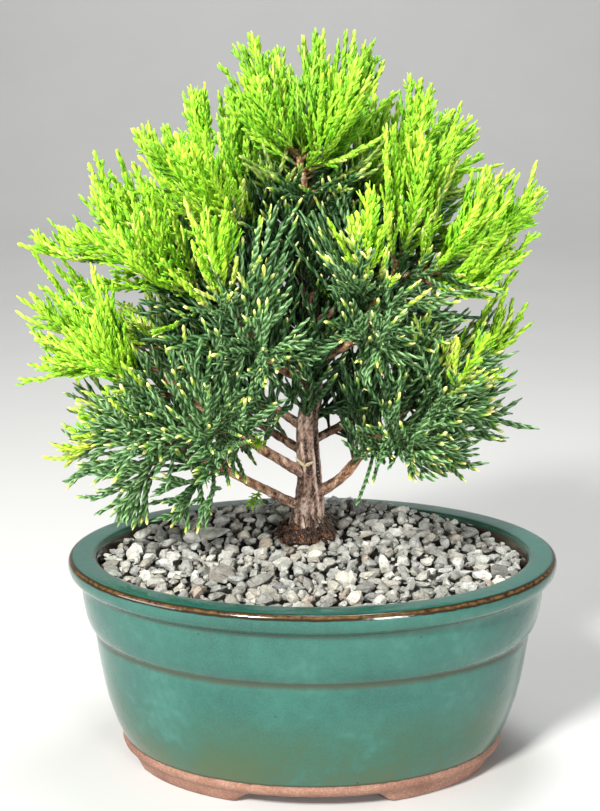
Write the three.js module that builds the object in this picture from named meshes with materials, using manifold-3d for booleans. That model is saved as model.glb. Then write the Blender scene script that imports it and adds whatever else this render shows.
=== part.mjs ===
// A juniper bonsai in an oval glazed pot. Millimetres, +Z up, the pot's front towards -Y.
import * as THREE from 'three';
import { mergeVertices } from 'three/addons/utils/BufferGeometryUtils.js';
import Module from 'manifold-3d';

const wasm = await Module();
wasm.setup();

// Driving dimensions of the pot
const POT_WIDTH = 203;
const POT_DEPTH = 160;
const POT_HEIGHT = 89;
const RIM_FLAT = 11.6;
const WALL = 5.8;
const LIP_ROUND = 0.9;
const LIP_DROP = 1.4;
const GLAZE_LINE = 10.5;
const GROOVE_HEIGHT = 57.4;
const GROOVE_HALF = 91.4;
const BELLY_HEIGHT = 29;
const BELLY_HALF = 86.9;
const FOOT_HALF = 76.8;
const FOOT_HEIGHT = 5.6;
const FOOT_WIDTH = 8;
const FRONT_ARCH = 66;
const END_ARCH = 46;
const ARCH_LEAN = 4.6;
const ARCH_ROUND = 9.5;
const ARCH_SHOULDER = 2.4;
const ARCH_RISE = 5.2;
const FLOOR_TOP = 12;
const FLOOR_HALF = 73;
const DRAIN_RADIUS = 7;
const DRAIN_SPACING = 90;
const DRAIN_SIDES = 20;
const OVAL_STEPS = 44;
const FILL_STEPS = 22;
// How far a cutting shape reaches past what it cuts
const MARGIN = 1;

// What fills the pot
const GAP = 0.3;
const SCREEN_SIZE = 26;
const SCREEN_THICKNESS = 1.2;
const SCREEN_BARS = 4;
const SCREEN_BAR = 2;
const SOIL_TOP = 78;
const GRAVEL_LEVEL = 84.6;
const GRAVEL_MOUND = 1.2;
const GRAVEL_CLIMB = 5.5;
const GRAVEL_CLIMB_FROM = 5;
const HEAP_TOP = 97;
const STONE_PITCH = 11;
const STONE_RISE = 3.2;
const STONE_LEAST_RISE = 0.45;
const STONE_SHAKE = 0.55;
const STONE_TILT = 0.6;
const STONE_TOP = 0.5;
const STONE_TOP_SPREAD = 0.26;
const SEAM_DEPTH = 1.2;
const SEAM_SPREAD = 0.8;
const STONE_MARGIN = 0.01;

// The tree
const TRUNK_FOOT = new THREE.Vector3(-3, 21, 86);
const ROOT_BOTTOM = 56;
const TRUNK_SIDES = 9;
const TRUNK_SAMPLES = 12;
const BRANCH_SIDES = 5;
const BRANCH_SAMPLES = 4;
const CRUST_RADIUS = 12.5;
const CRUST_SIDES = 14;
const CRUST_SHOULDER = 86.5;
const CRUST_TOP = 90.6;
const CRUST_TAPER = 2;
const CRUST_LUMP = 0.16;
const CRUST_SPREAD = 1.6;
const CRUST_DIP = 0.625;
const CRUST_BED = 2;
// The trunk's foot, which the crust leaves clear: how many of the trunk's points, and its samples
const FOOT_POINTS = 5;
const FOOT_SAMPLES = 8;
const FOOT_SINK = 0.5;
const LEADER_RADIUS = 1.5;
const LEADER_TAPER = 0.4;
const LEADER_END_GAP = 0.4;
const SEAT_SINK = 0.95;
const SEAT_SLOPE = 0.85;
const TWIG_RADIUS = 1.1;
const TWIG_FOOT = 2.4;
const TWIG_PITCH = 8.5;
const TWIG_SLANT = 0.76;
const TWIG_LONGEST = 36;
const TWIG_CLEARANCE = 0.5;
const TWIG_APART = 1.3;
const TWIG_START = 2;
// Where twigs sit on a leader, as shares of it: the first one, and the stretch that they fill
const TWIG_FIRST = 0.12;
const TWIG_STRETCH = 0.8;
// A twig's length as a share of its leader: at the tip, and how much more at the foot
const TWIG_LEAST = 0.2;
const TWIG_MORE = 0.46;
const TWIG_LIFT = 0.1;
// The lengths that a twig tries, as shares of its full length
const TWIG_TRIES = [1, 0.72, 0.5];
const FORKED_PAIRS = 3;
const FORK_PLACE = 0.38;
const FORK_LEAST = 9;
const FORK_LENGTH = 0.42;
const FORK_SPREAD = 0.2;
const FORK_START = 1.5;
const FORK_TAPERS = [0.86, 0.78];

const COLOURS = {
  glaze: 0x2f7d66,
  mesh: 0x26332c,
  soil: 0x54392a,
  gravel: 0x9c9a90,
  bark: 0x6d4836,
  gold: 0xa9c92b,
  green: 0x2f6a3d,
};

// A seeded draw between 0 and 1, the same on every run
function draw(seed, index) {
  const wave = Math.sin(seed * 12.9898 + index * 78.233) * 43758.5453;
  return wave - Math.floor(wave);
}

// A closed skin through rings of points, each ring anticlockwise seen from the last ring's side.
// A ring of one point closes the skin to a tip.
function loft(rings) {
  const points = rings.flat();
  const faces = [];
  const starts = [];
  let total = 0;
  for (const ring of rings) {
    starts.push(total);
    total += ring.length;
  }
  for (let i = 0; i + 1 < rings.length; i += 1) {
    const low = starts[i];
    const high = starts[i + 1];
    const count = Math.max(rings[i].length, rings[i + 1].length);
    for (let j = 0; j < count; j += 1) {
      const next = (j + 1) % count;
      if (rings[i + 1].length === 1) {
        faces.push(low + j, low + next, high);
      } else if (rings[i].length === 1) {
        faces.push(low, high + next, high + j);
      } else {
        faces.push(low + j, low + next, high + next, low + j, high + next, high + j);
      }
    }
  }
  const lastStart = starts[rings.length - 1];
  for (let j = 1; j + 1 < rings[0].length; j += 1) {
    faces.push(0, j + 1, j);
  }
  for (let j = 1; j + 1 < rings[rings.length - 1].length; j += 1) {
    faces.push(lastStart, lastStart + j, lastStart + j + 1);
  }
  const geometry = new THREE.BufferGeometry();
  geometry.setAttribute('position', new THREE.Float32BufferAttribute(points.flatMap((p) => p.toArray()), 3));
  geometry.setIndex(faces);
  return geometry;
}

// A closed three.js geometry as a solid that can be joined and cut
function solid(geometry) {
  const bare = geometry.clone();
  bare.deleteAttribute('normal');
  bare.deleteAttribute('uv');
  const merged = mergeVertices(bare, 1e-4);
  return new wasm.Manifold(new wasm.Mesh({
    numProp: 3,
    vertProperties: new Float32Array(merged.attributes.position.array),
    triVerts: new Uint32Array(merged.index.array),
  }));
}

// The skin of a solid's main body as a three.js geometry, with slivers closed up and scraps dropped
function skin(body) {
  const [main] = body.simplify(0.01).decompose().sort((a, b) => b.volume() - a.volume());
  const mesh = main.getMesh();
  const geometry = new THREE.BufferGeometry();
  geometry.setAttribute('position', new THREE.BufferAttribute(new Float32Array(mesh.vertProperties), 3));
  geometry.setIndex(Array.from(mesh.triVerts));
  geometry.computeVertexNormals();
  return geometry;
}

// One level ring of the pot's oval. The oval keeps the rim's inset all round.
function ovalRing(halfWidth, height, steps = OVAL_STEPS) {
  const halfDepth = halfWidth - (POT_WIDTH - POT_DEPTH) / 2;
  const ring = [];
  for (let k = 0; k < steps; k += 1) {
    const angle = (2 * Math.PI * k) / steps;
    ring.push(new THREE.Vector3(halfWidth * Math.cos(angle), halfDepth * Math.sin(angle), height));
  }
  return ring;
}

// The tapered tube that follows a path, with as many sides as asked and a flat or pointed end
function tube(path, radii, sides, pointed = false) {
  const whole = path[path.length - 1].clone().sub(path[0]).normalize();
  const reference = Math.abs(whole.z) < 0.8 ? new THREE.Vector3(0, 0, 1) : new THREE.Vector3(1, 0, 0);
  const rings = path.map((centre, i) => {
    if (pointed && i === path.length - 1) {
      return [centre];
    }
    const ahead = path[Math.min(i + 1, path.length - 1)];
    const behind = path[Math.max(i - 1, 0)];
    const along = ahead.clone().sub(behind).normalize();
    const across = reference.clone().addScaledVector(along, -reference.dot(along)).normalize();
    const beside = along.clone().cross(across);
    const ring = [];
    for (let k = 0; k < sides; k += 1) {
      const angle = (2 * Math.PI * k) / sides;
      ring.push(centre.clone()
        .addScaledVector(across, radii[i] * Math.cos(angle))
        .addScaledVector(beside, radii[i] * Math.sin(angle)));
    }
    return ring;
  });
  return loft(rings);
}

// The pot

const HALF = POT_WIDTH / 2;

// Half widths and heights of the outside, from the foot up to the rim's flat
const OUTSIDE = [
  [FOOT_HALF, 0], [78.8, FOOT_HEIGHT], [80.8, 8.6], [80.4, GLAZE_LINE],
  [83.6, 18], [BELLY_HALF, BELLY_HEIGHT], [89.4, 42], [GROOVE_HALF, GROOVE_HEIGHT],
  [92.9, 59.4], [95.4, 68], [96.4, 79],
  [100.6, 82.6], [HALF, 85.2], [101, 88], [99.9, POT_HEIGHT],
];

// Half widths and heights of the inside, from the rim's flat down to the floor
const INSIDE = [
  [HALF - RIM_FLAT, POT_HEIGHT], [HALF - RIM_FLAT - LIP_ROUND, POT_HEIGHT - LIP_DROP],
  [GROOVE_HALF - WALL, GROOVE_HEIGHT], [BELLY_HALF - WALL, BELLY_HEIGHT], [FLOOR_HALF, FLOOR_TOP],
];

// The outline of an arch in the foot ring: upright sides that round off into a flat top
function archProfile(width) {
  const half = width / 2;
  return new THREE.Shape([
    new THREE.Vector2(-half, -MARGIN), new THREE.Vector2(half, -MARGIN),
    new THREE.Vector2(half - ARCH_LEAN, ARCH_SHOULDER), new THREE.Vector2(half - ARCH_ROUND, ARCH_RISE),
    new THREE.Vector2(ARCH_ROUND - half, ARCH_RISE), new THREE.Vector2(ARCH_LEAN - half, ARCH_SHOULDER),
  ]);
}

// The pot: an oval shell, hollowed under its floor, with arches through its foot and two drains
function makePot() {
  const rings = OUTSIDE.concat(INSIDE).map(([half, height]) => ovalRing(half, height));
  const footInner = FOOT_HALF - FOOT_WIDTH;
  const under = [ovalRing(footInner + MARGIN, -MARGIN), ovalRing(footInner, FOOT_HEIGHT)];
  const through = { depth: 2 * POT_WIDTH, bevelEnabled: false };
  const frontArch = new THREE.ExtrudeGeometry(archProfile(FRONT_ARCH), through);
  frontArch.rotateX(Math.PI / 2);
  frontArch.translate(0, POT_WIDTH, 0);
  const endArch = new THREE.ExtrudeGeometry(archProfile(END_ARCH), through);
  endArch.rotateX(Math.PI / 2);
  endArch.rotateZ(Math.PI / 2);
  endArch.translate(-POT_WIDTH, 0, 0);
  let pot = solid(loft(rings)).subtract(solid(loft(under)));
  pot = pot.subtract(solid(frontArch)).subtract(solid(endArch));
  for (const side of [-1, 1]) {
    const drain = new THREE.CylinderGeometry(DRAIN_RADIUS, DRAIN_RADIUS, 4 * FLOOR_TOP, DRAIN_SIDES);
    drain.rotateX(Math.PI / 2);
    drain.translate((side * DRAIN_SPACING) / 2, 0, FLOOR_TOP);
    pot = pot.subtract(solid(drain));
  }
  return skin(pot);
}

// A square of plastic mesh that lies over one drainage hole: crossed bars in one sheet
function makeScreen(centreX) {
  let screen = null;
  for (let k = 0; k < SCREEN_BARS; k += 1) {
    const offset = (k / (SCREEN_BARS - 1) - 0.5) * (SCREEN_SIZE - SCREEN_BAR);
    const bar = new THREE.BoxGeometry(SCREEN_SIZE, SCREEN_BAR, SCREEN_THICKNESS);
    const rung = bar.clone().rotateZ(Math.PI / 2).translate(offset, 0, 0);
    const pair = solid(bar.translate(0, offset, 0)).add(solid(rung));
    screen = screen ? screen.add(pair) : pair;
  }
  return skin(screen).translate(centreX, 0, FLOOR_TOP + GAP + SCREEN_THICKNESS / 2);
}

// The half width of the pot's hollow at a height
function hollowHalf(height) {
  for (let i = 0; i + 1 < INSIDE.length; i += 1) {
    const [upperHalf, upper] = INSIDE[i];
    const [lowerHalf, lower] = INSIDE[i + 1];
    if (height <= upper && height >= lower) {
      return lowerHalf + ((upperHalf - lowerHalf) * (height - lower)) / (upper - lower);
    }
  }
  return INSIDE[INSIDE.length - 1][0];
}

// The plug that fills the hollow between two heights, a gap clear of the wall. Above the rim's
// inner edge it runs straight up.
function hollowPlug(bottom, top) {
  const edge = POT_HEIGHT - LIP_DROP;
  const inner = INSIDE.map(([, height]) => height).filter((height) => height > bottom && height < top);
  const levels = [bottom, ...inner.reverse(), top];
  return loft(levels.map((height) => {
    const half = hollowHalf(Math.min(height, edge)) - GAP;
    return ovalRing(half, height, FILL_STEPS);
  }));
}

// The trunk and its branches: the points that each passes through, and its radius at both ends
const TRUNK = {
  points: [
    [-3, 21, ROOT_BOTTOM], [-3, 21, 76], [-3, 21, 86], [-1.5, 21, 99], [-1, 21, 112], [-2, 21, 137],
    [0, 21, 150], [0, 21, 167], [-1, 21, 194], [-2, 21, 206], [0, 21, 229], [1, 21, 247], [1, 21, 258],
  ],
  radii: [4, 8.2, 8.6, 7.2, 5.4, 4.6, 4.3, 3.8, 3.1, 2.9, 2.3, 1.8, 1.5],
};

const BRANCHES = {
  lowLeft: {
    points: [[-4, 20, 101], [-24, 16, 112], [-39, 12, 121], [-56, 8, 128], [-70, 6, 134]],
    radii: [2.2, 1.4],
  },
  midLeft: {
    points: [[-2, 20, 115], [-21, 15, 128], [-34, 10, 138], [-48, 6, 148], [-62, 2, 164]],
    radii: [2.4, 1.4],
  },
  right: {
    points: [[1, 19, 107], [12, 16, 115], [23, 13, 129], [33, 10, 139], [46, 6, 160]],
    radii: [2.6, 1.4],
  },
  rightHigh: {
    points: [[0, 22, 160], [8, 24, 168], [21, 27, 181], [32, 28, 195], [48, 26, 212]],
    radii: [2.1, 1.3],
  },
  leftHigh: {
    points: [[0, 21, 170], [-18, 21, 184], [-38, 20, 194], [-56, 18, 203], [-72, 17, 208]],
    radii: [2.1, 1.3],
  },
  leftMid: { points: [[-1, 22, 134], [-24, 30, 148], [-46, 30, 160], [-64, 28, 170]], radii: [2.1, 1.3] },
  backLeftLow: { points: [[-2, 22, 124], [-20, 38, 132], [-36, 52, 140], [-46, 60, 150]], radii: [2, 1.3] },
  back: { points: [[-1, 22, 142], [0, 42, 156], [2, 60, 172], [2, 66, 184]], radii: [2, 1.3] },
  backRightLow: { points: [[0, 22, 130], [18, 40, 136], [32, 52, 146], [42, 56, 158]], radii: [2, 1.3] },
  frontLeft: { points: [[-1, 20, 156], [-12, 4, 164], [-22, -10, 174], [-30, -18, 188]], radii: [2, 1.3] },
  frontRight: { points: [[0, 20, 166], [10, 4, 172], [19, -10, 182], [24, -16, 196]], radii: [2, 1.3] },
  upLeft: { points: [[-1, 21, 200], [-14, 20, 216], [-28, 20, 230], [-40, 18, 243]], radii: [1.9, 1.3] },
  upRight: { points: [[-1, 21, 210], [14, 20, 222], [26, 18, 236], [35, 16, 248]], radii: [1.9, 1.3] },
  upBack: { points: [[-1, 22, 196], [-4, 38, 212], [-6, 50, 228], [-6, 56, 242]], radii: [1.9, 1.3] },
  backUpLeft: { points: [[0, 22, 180], [-20, 38, 190], [-38, 48, 202], [-50, 54, 214]], radii: [1.9, 1.3] },
  backUpRight: { points: [[-1, 22, 188], [18, 36, 198], [34, 46, 210], [44, 50, 222]], radii: [1.9, 1.3] },
  frontTop: { points: [[0, 20, 224], [-3, 8, 238], [-6, 0, 252]], radii: [1.7, 1.2] },
  frontRightHigh: { points: [[0, 20, 180], [18, 8, 194], [34, -2, 202], [46, -8, 208]], radii: [1.9, 1.3] },
};

// A sampled path through a branch's points, with its radius at each sample
function limbPath({ points, radii }, samples) {
  const curve = new THREE.CatmullRomCurve3(points.map((p) => new THREE.Vector3(...p)));
  const path = [];
  const widths = [];
  for (let i = 0; i <= samples; i += 1) {
    const t = i / samples;
    path.push(curve.getPoint(t));
    const place = t * (radii.length - 1);
    const cell = Math.min(Math.floor(place), radii.length - 2);
    widths.push(radii[cell] + (radii[cell + 1] - radii[cell]) * (place - cell));
  }
  return { path, widths };
}

const LIMBS = { trunk: limbPath(TRUNK, TRUNK_SAMPLES) };
for (const [name, branch] of Object.entries(BRANCHES)) {
  LIMBS[name] = limbPath(branch, BRANCH_SAMPLES);
}

// Trunk and branches are one piece of wood
function makeTrunk() {
  let wood = null;
  for (const [name, { path, widths }] of Object.entries(LIMBS)) {
    const piece = solid(tube(path, widths, name === 'trunk' ? TRUNK_SIDES : BRANCH_SIDES));
    wood = wood ? wood.add(piece) : piece;
  }
  return skin(wood);
}

// The soil fills the pot, and stands up through the gravel as a crust round the trunk
function makeSoil() {
  const bottom = FLOOR_TOP + SCREEN_THICKNESS + 2 * GAP;
  const turns = [
    { radius: CRUST_RADIUS, height: SOIL_TOP - CRUST_BED, lump: 0, spread: 0 },
    { radius: CRUST_RADIUS, height: CRUST_SHOULDER, lump: CRUST_LUMP, spread: 0 },
    { radius: CRUST_RADIUS - CRUST_TAPER, height: CRUST_TOP, lump: CRUST_LUMP, spread: CRUST_SPREAD },
  ];
  const crust = turns.map(({ radius, height, lump, spread }) => {
    const ring = [];
    for (let k = 0; k < CRUST_SIDES; k += 1) {
      const angle = (2 * Math.PI * k) / CRUST_SIDES;
      const reach = radius * (1 - lump * draw(3, k + height));
      ring.push(new THREE.Vector3(
        TRUNK_FOOT.x + reach * Math.cos(angle),
        TRUNK_FOOT.y + reach * Math.sin(angle),
        height + spread * (draw(5, k) - CRUST_DIP),
      ));
    }
    return ring;
  });
  const root = { points: TRUNK.points.slice(0, FOOT_POINTS), radii: TRUNK.radii.slice(0, FOOT_POINTS) };
  const { path, widths } = limbPath(root, FOOT_SAMPLES);
  path[0].z -= FOOT_SINK;
  const hole = tube(path, widths.map((width) => width + 2 * GAP), TRUNK_SIDES + 3);
  return skin(solid(hollowPlug(bottom, SOIL_TOP)).add(solid(loft(crust))).subtract(solid(hole)));
}

// How high the gravel lies at a place: a shallow mound that climbs towards the back
function gravelLevel(x, y) {
  const across = (x / HALF) ** 2;
  const mound = GRAVEL_MOUND * (1 - across - (y / (POT_DEPTH / 2)) ** 2);
  const climb = THREE.MathUtils.smoothstep(y, GRAVEL_CLIMB_FROM, POT_DEPTH / 2);
  return GRAVEL_LEVEL + mound + GRAVEL_CLIMB * climb * (1 - across);
}

// The gravel is a bed whose top is raised in stones. Each cell of a shaken grid is one stone:
// four low corners in the seams, and a smaller tilted top.
function makeGravel() {
  const columns = Math.ceil((POT_WIDTH + STONE_PITCH) / STONE_PITCH);
  const rows = Math.ceil((POT_DEPTH + STONE_PITCH) / STONE_PITCH);
  const bed = SOIL_TOP + GAP;
  const points = [];
  const faces = [];
  const corner = (i, j) => i * (rows + 1) + j;
  for (let i = 0; i <= columns; i += 1) {
    for (let j = 0; j <= rows; j += 1) {
      const x = (i - columns / 2 + STONE_SHAKE * (draw(11, corner(i, j)) - 0.5)) * STONE_PITCH;
      const y = (j - rows / 2 + STONE_SHAKE * (draw(12, corner(i, j)) - 0.5)) * STONE_PITCH;
      const seam = SEAM_DEPTH - SEAM_SPREAD * draw(13, corner(i, j));
      points.push(new THREE.Vector3(x, y, gravelLevel(x, y) - seam));
    }
  }
  const underside = points.length;
  for (let k = 0; k < underside; k += 1) {
    points.push(points[k].clone().setZ(bed));
  }
  for (let i = 0; i < columns; i += 1) {
    for (let j = 0; j < rows; j += 1) {
      const low = [corner(i, j), corner(i + 1, j), corner(i + 1, j + 1), corner(i, j + 1)];
      const middle = new THREE.Vector3();
      low.forEach((k) => middle.addScaledVector(points[k], 0.25));
      const cell = corner(i, j);
      const tiltX = STONE_TILT * (draw(14, cell) - 0.5);
      const tiltY = STONE_TILT * (draw(15, cell) - 0.5);
      const rise = STONE_RISE * (STONE_LEAST_RISE + (1 - STONE_LEAST_RISE) * draw(16, cell));
      const top = low.map((k, n) => {
        const spread = STONE_TOP + STONE_TOP_SPREAD * draw(17 + n, cell);
        const peak = points[k].clone().lerp(middle, 1 - spread);
        peak.z = middle.z + rise + tiltX * (peak.x - middle.x) + tiltY * (peak.y - middle.y);
        points.push(peak);
        return points.length - 1;
      });
      for (let n = 0; n < 4; n += 1) {
        const next = (n + 1) % 4;
        faces.push(low[n], low[next], top[next], low[n], top[next], top[n]);
      }
      faces.push(top[0], top[1], top[2], top[0], top[2], top[3]);
      faces.push(...[low[0], low[2], low[1], low[0], low[3], low[2]].map((k) => k + underside));
    }
  }
  const side = (a, b) => faces.push(a + underside, b + underside, b, a + underside, b, a);
  for (let i = 0; i < columns; i += 1) {
    side(corner(i, 0), corner(i + 1, 0));
    side(corner(i + 1, rows), corner(i, rows));
  }
  for (let j = 0; j < rows; j += 1) {
    side(corner(columns, j), corner(columns, j + 1));
    side(corner(0, j + 1), corner(0, j));
  }
  const heap = new THREE.BufferGeometry();
  heap.setAttribute('position', new THREE.Float32BufferAttribute(points.flatMap((p) => p.toArray()), 3));
  heap.setIndex(faces);
  const clear = CRUST_RADIUS + 2 * GAP;
  const clearing = new THREE.CylinderGeometry(clear, clear, POT_HEIGHT / 2, CRUST_SIDES);
  clearing.rotateX(Math.PI / 2);
  clearing.translate(TRUNK_FOOT.x, TRUNK_FOOT.y, GRAVEL_LEVEL);
  const hollow = solid(hollowPlug(bed - STONE_MARGIN, HEAP_TOP));
  return skin(solid(heap).intersect(hollow).subtract(solid(clearing)));
}

// The sprays of foliage: where each leader sits on its limb, its tip, how far it bows up, and its colour
const SPRAYS = [
  ['trunk', 1.0, [1, 22, 301], 0, 'gold'],
  ['trunk', 0.95, [-26, 17, 299], -6, 'gold'],
  ['trunk', 0.9, [24, 25, 295], -6, 'gold'],
  ['upLeft', 1.0, [-50, 19, 277], -5, 'gold'],
  ['upLeft', 0.72, [-72, 16, 261], -8, 'gold'],
  ['leftHigh', 0.62, [-92, 24, 238], -9, 'gold'],
  ['leftHigh', 1.0, [-121, 14, 215], -3, 'gold'],
  ['leftMid', 1.0, [-120, 24, 182], -3, 'gold'],
  ['midLeft', 1.0, [-114, 10, 158], 6, 'gold'],
  ['lowLeft', 1.0, [-104, 8, 122], 6, 'green'],
  ['lowLeft', 0.76, [-82, -4, 101], 8, 'green'],
  ['lowLeft', 0.5, [-54, -14, 104], 7, 'green'],
  ['upRight', 1.0, [46, 18, 275], -4, 'gold'],
  ['upRight', 0.7, [66, 26, 263], -7, 'gold'],
  ['rightHigh', 1.0, [94, 16, 236], -8, 'gold'],
  ['rightHigh', 0.8, [86, 22, 206], -4, 'gold'],
  ['right', 1.0, [84, 6, 182], -5, 'gold'],
  ['right', 0.72, [84, 12, 144], 3, 'green'],
  ['right', 0.5, [60, 2, 122], 6, 'green'],
  ['frontTop', 1.0, [-24, -22, 280], -4, 'gold'],
  ['frontTop', 0.75, [14, -24, 278], -6, 'gold'],
  ['frontRightHigh', 0.6, [42, -26, 256], -8, 'gold'],
  ['upLeft', 0.45, [-50, -28, 248], -8, 'gold'],
  ['leftHigh', 0.45, [-74, -30, 222], -8, 'gold'],
  ['midLeft', 0.85, [-90, -26, 186], -8, 'gold'],
  ['midLeft', 0.66, [-74, -36, 144], 2, 'green'],
  ['midLeft', 0.45, [-44, -44, 146], 2, 'green'],
  ['frontLeft', 0.7, [-18, -50, 184], -2, 'green'],
  ['frontLeft', 1.0, [-38, -44, 218], -5, 'green'],
  ['frontRight', 1.0, [18, -46, 222], -6, 'green'],
  ['frontRight', 0.7, [26, -50, 182], 0, 'green'],
  ['frontRightHigh', 1.0, [68, -24, 236], -6, 'gold'],
  ['frontRightHigh', 0.8, [72, -30, 202], -2, 'gold'],
  ['right', 0.85, [58, -36, 166], -2, 'gold'],
  ['right', 0.6, [40, -38, 138], 4, 'green'],
  ['upBack', 1.0, [-2, 70, 278], -4, 'gold'],
  ['upBack', 0.75, [-38, 62, 270], -6, 'gold'],
  ['upRight', 0.45, [32, 66, 266], -8, 'gold'],
  ['backUpLeft', 1.0, [-66, 66, 243], -5, 'gold'],
  ['backUpRight', 1.0, [62, 62, 240], -5, 'gold'],
  ['upBack', 0.5, [4, 94, 238], -8, 'gold'],
  ['backUpLeft', 0.75, [-90, 60, 208], 2, 'gold'],
  ['backUpLeft', 0.5, [-42, 92, 206], -4, 'gold'],
  ['backUpRight', 0.6, [40, 92, 206], -4, 'gold'],
  ['backUpRight', 0.8, [80, 60, 194], 4, 'gold'],
  ['backLeftLow', 1.0, [-80, 66, 152], 6, 'green'],
  ['backLeftLow', 0.75, [-38, 88, 152], 2, 'green'],
  ['back', 0.8, [6, 96, 176], -2, 'green'],
  ['backRightLow', 1.0, [62, 76, 152], 6, 'green'],
  ['backLeftLow', 0.5, [-34, 64, 116], 5, 'green'],
  ['backRightLow', 0.6, [26, 70, 120], 5, 'green'],
];

// The point at a share of a limb's length, its heading there and its radius
function seatOn(limb, share) {
  const { path, widths } = LIMBS[limb];
  const place = share * (path.length - 1);
  const cell = Math.min(Math.floor(place), path.length - 2);
  return {
    point: path[cell].clone().lerp(path[cell + 1], place - cell),
    heading: path[cell + 1].clone().sub(path[cell]).normalize(),
    radius: widths[cell] + (widths[cell + 1] - widths[cell]) * (place - cell),
  };
}

// A leader's curve: out of its limb's side or end, then in one bow to its tip
function leaderCurve([limb, share, tip, bow]) {
  const { point, heading, radius } = seatOn(limb, share);
  const end = new THREE.Vector3(...tip);
  const aim = point.clone().lerp(end, 0.5).setZ((point.z + end.z) / 2 + 2 * bow).sub(point).normalize();
  const slope = aim.dot(heading);
  const start = point.clone();
  if (share === 1) {
    start.addScaledVector(heading, LEADER_END_GAP + LEADER_RADIUS * Math.sqrt(1 - slope * slope));
  } else {
    const outward = aim.clone().addScaledVector(heading, -slope).normalize();
    start.addScaledVector(outward, SEAT_SINK * radius + GAP + SEAT_SLOPE * LEADER_RADIUS * Math.abs(slope));
  }
  const middle = start.clone().lerp(end, 0.5);
  middle.z += 2 * bow;
  return new THREE.QuadraticBezierCurve3(start, middle, end);
}

// The shortest distance between two straight pieces
function pieceDistance(a, b, c, d) {
  const u = b.clone().sub(a);
  const v = d.clone().sub(c);
  const w = a.clone().sub(c);
  const uu = u.dot(u);
  const uv = u.dot(v);
  const vv = v.dot(v);
  const uw = u.dot(w);
  const vw = v.dot(w);
  const cross = uu * vv - uv * uv;
  const clamp = (value) => Math.min(1, Math.max(0, value));
  let s = cross > 1e-9 ? clamp((uv * vw - vv * uw) / cross) : 0;
  const t = clamp((uv * s + vw) / vv);
  s = clamp((uv * t - uw) / uu);
  return w.addScaledVector(u, s).addScaledVector(v, -t).length();
}

// Everything that a new twig stays clear of, as straight pieces with an owner and a radius
const OCCUPIED = [];

function occupy(owner, path, radii) {
  for (let i = 0; i + 1 < path.length; i += 1) {
    OCCUPIED.push({ owner, a: path[i], b: path[i + 1], radius: Math.max(radii[i], radii[i + 1]) });
  }
}

// Whether a twig has room: clear of other nodes, and of the other twigs of its own spray
function isClear(owner, [foot, peak]) {
  return OCCUPIED.every((other) => {
    const near = pieceDistance(foot, peak, other.a, other.b);
    if (other.owner === owner) {
      return other.radius === LEADER_RADIUS || near > TWIG_APART * TWIG_RADIUS;
    }
    return near > other.radius + TWIG_RADIUS + TWIG_CLEARANCE;
  });
}

const LEADERS = SPRAYS.map((spray) => leaderCurve(spray));
const LEADER_SAMPLES = 8;

for (const [name, { path, widths }] of Object.entries(LIMBS)) {
  occupy(name, path, widths);
}
LEADERS.forEach((leader, index) => {
  occupy(index, leader.getPoints(LEADER_SAMPLES), Array(LEADER_SAMPLES + 1).fill(LEADER_RADIUS));
});

// The skin of one spray while it grows: its points and faces, and the ways it is drawn out
class Sprout {
  constructor() {
    this.points = [];
    this.faces = [];
  }

  ring(corners) {
    return corners.map((corner) => this.points.push(corner) - 1);
  }

  // The four corners of the face between two rings, in order round it seen from outside
  face(low, high, side) {
    const next = (side + 1) % low.length;
    return [low[side], low[next], high[next], high[side]];
  }

  // The walls between two rings, apart from the sides that grow a twig
  walls(low, high, growing = []) {
    for (let side = 0; side < low.length; side += 1) {
      if (!growing.includes(side)) {
        const [a, b, c, d] = this.face(low, high, side);
        this.faces.push(a, b, c, a, c, d);
      }
    }
  }

  // A face or ring drawn out to a point
  tip(corners, peak) {
    const apex = this.points.push(peak) - 1;
    corners.forEach((corner, k) => this.faces.push(corner, corners[(k + 1) % corners.length], apex));
  }

  // The middle of some corners, and the way out from them that leans forwards along an axis
  stance(corners, axis) {
    const [a, b, c, d] = corners.map((k) => this.points[k]);
    const middle = a.clone().add(b).add(c).add(d).multiplyScalar(0.25);
    const outward = c.clone().sub(a).cross(d.clone().sub(b)).normalize();
    outward.addScaledVector(axis, -outward.dot(axis)).normalize();
    const heading = axis.clone().multiplyScalar(Math.cos(TWIG_SLANT));
    heading.addScaledVector(outward, Math.sin(TWIG_SLANT));
    return { middle, heading };
  }

  // The ring of some corners carried along a heading and shrunk
  carried(corners, middle, heading, distance, scale) {
    return this.ring(corners.map((k) => {
      const offset = this.points[k].clone().sub(middle);
      offset.addScaledVector(heading, -offset.dot(heading));
      return middle.clone().addScaledVector(heading, distance).addScaledVector(offset, scale);
    }));
  }

  geometry() {
    const skinned = new THREE.BufferGeometry();
    const numbers = this.points.flatMap((point) => point.toArray());
    skinned.setAttribute('position', new THREE.Float32BufferAttribute(numbers, 3));
    skinned.setIndex(this.faces);
    skinned.computeVertexNormals();
    return skinned;
  }
}

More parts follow.
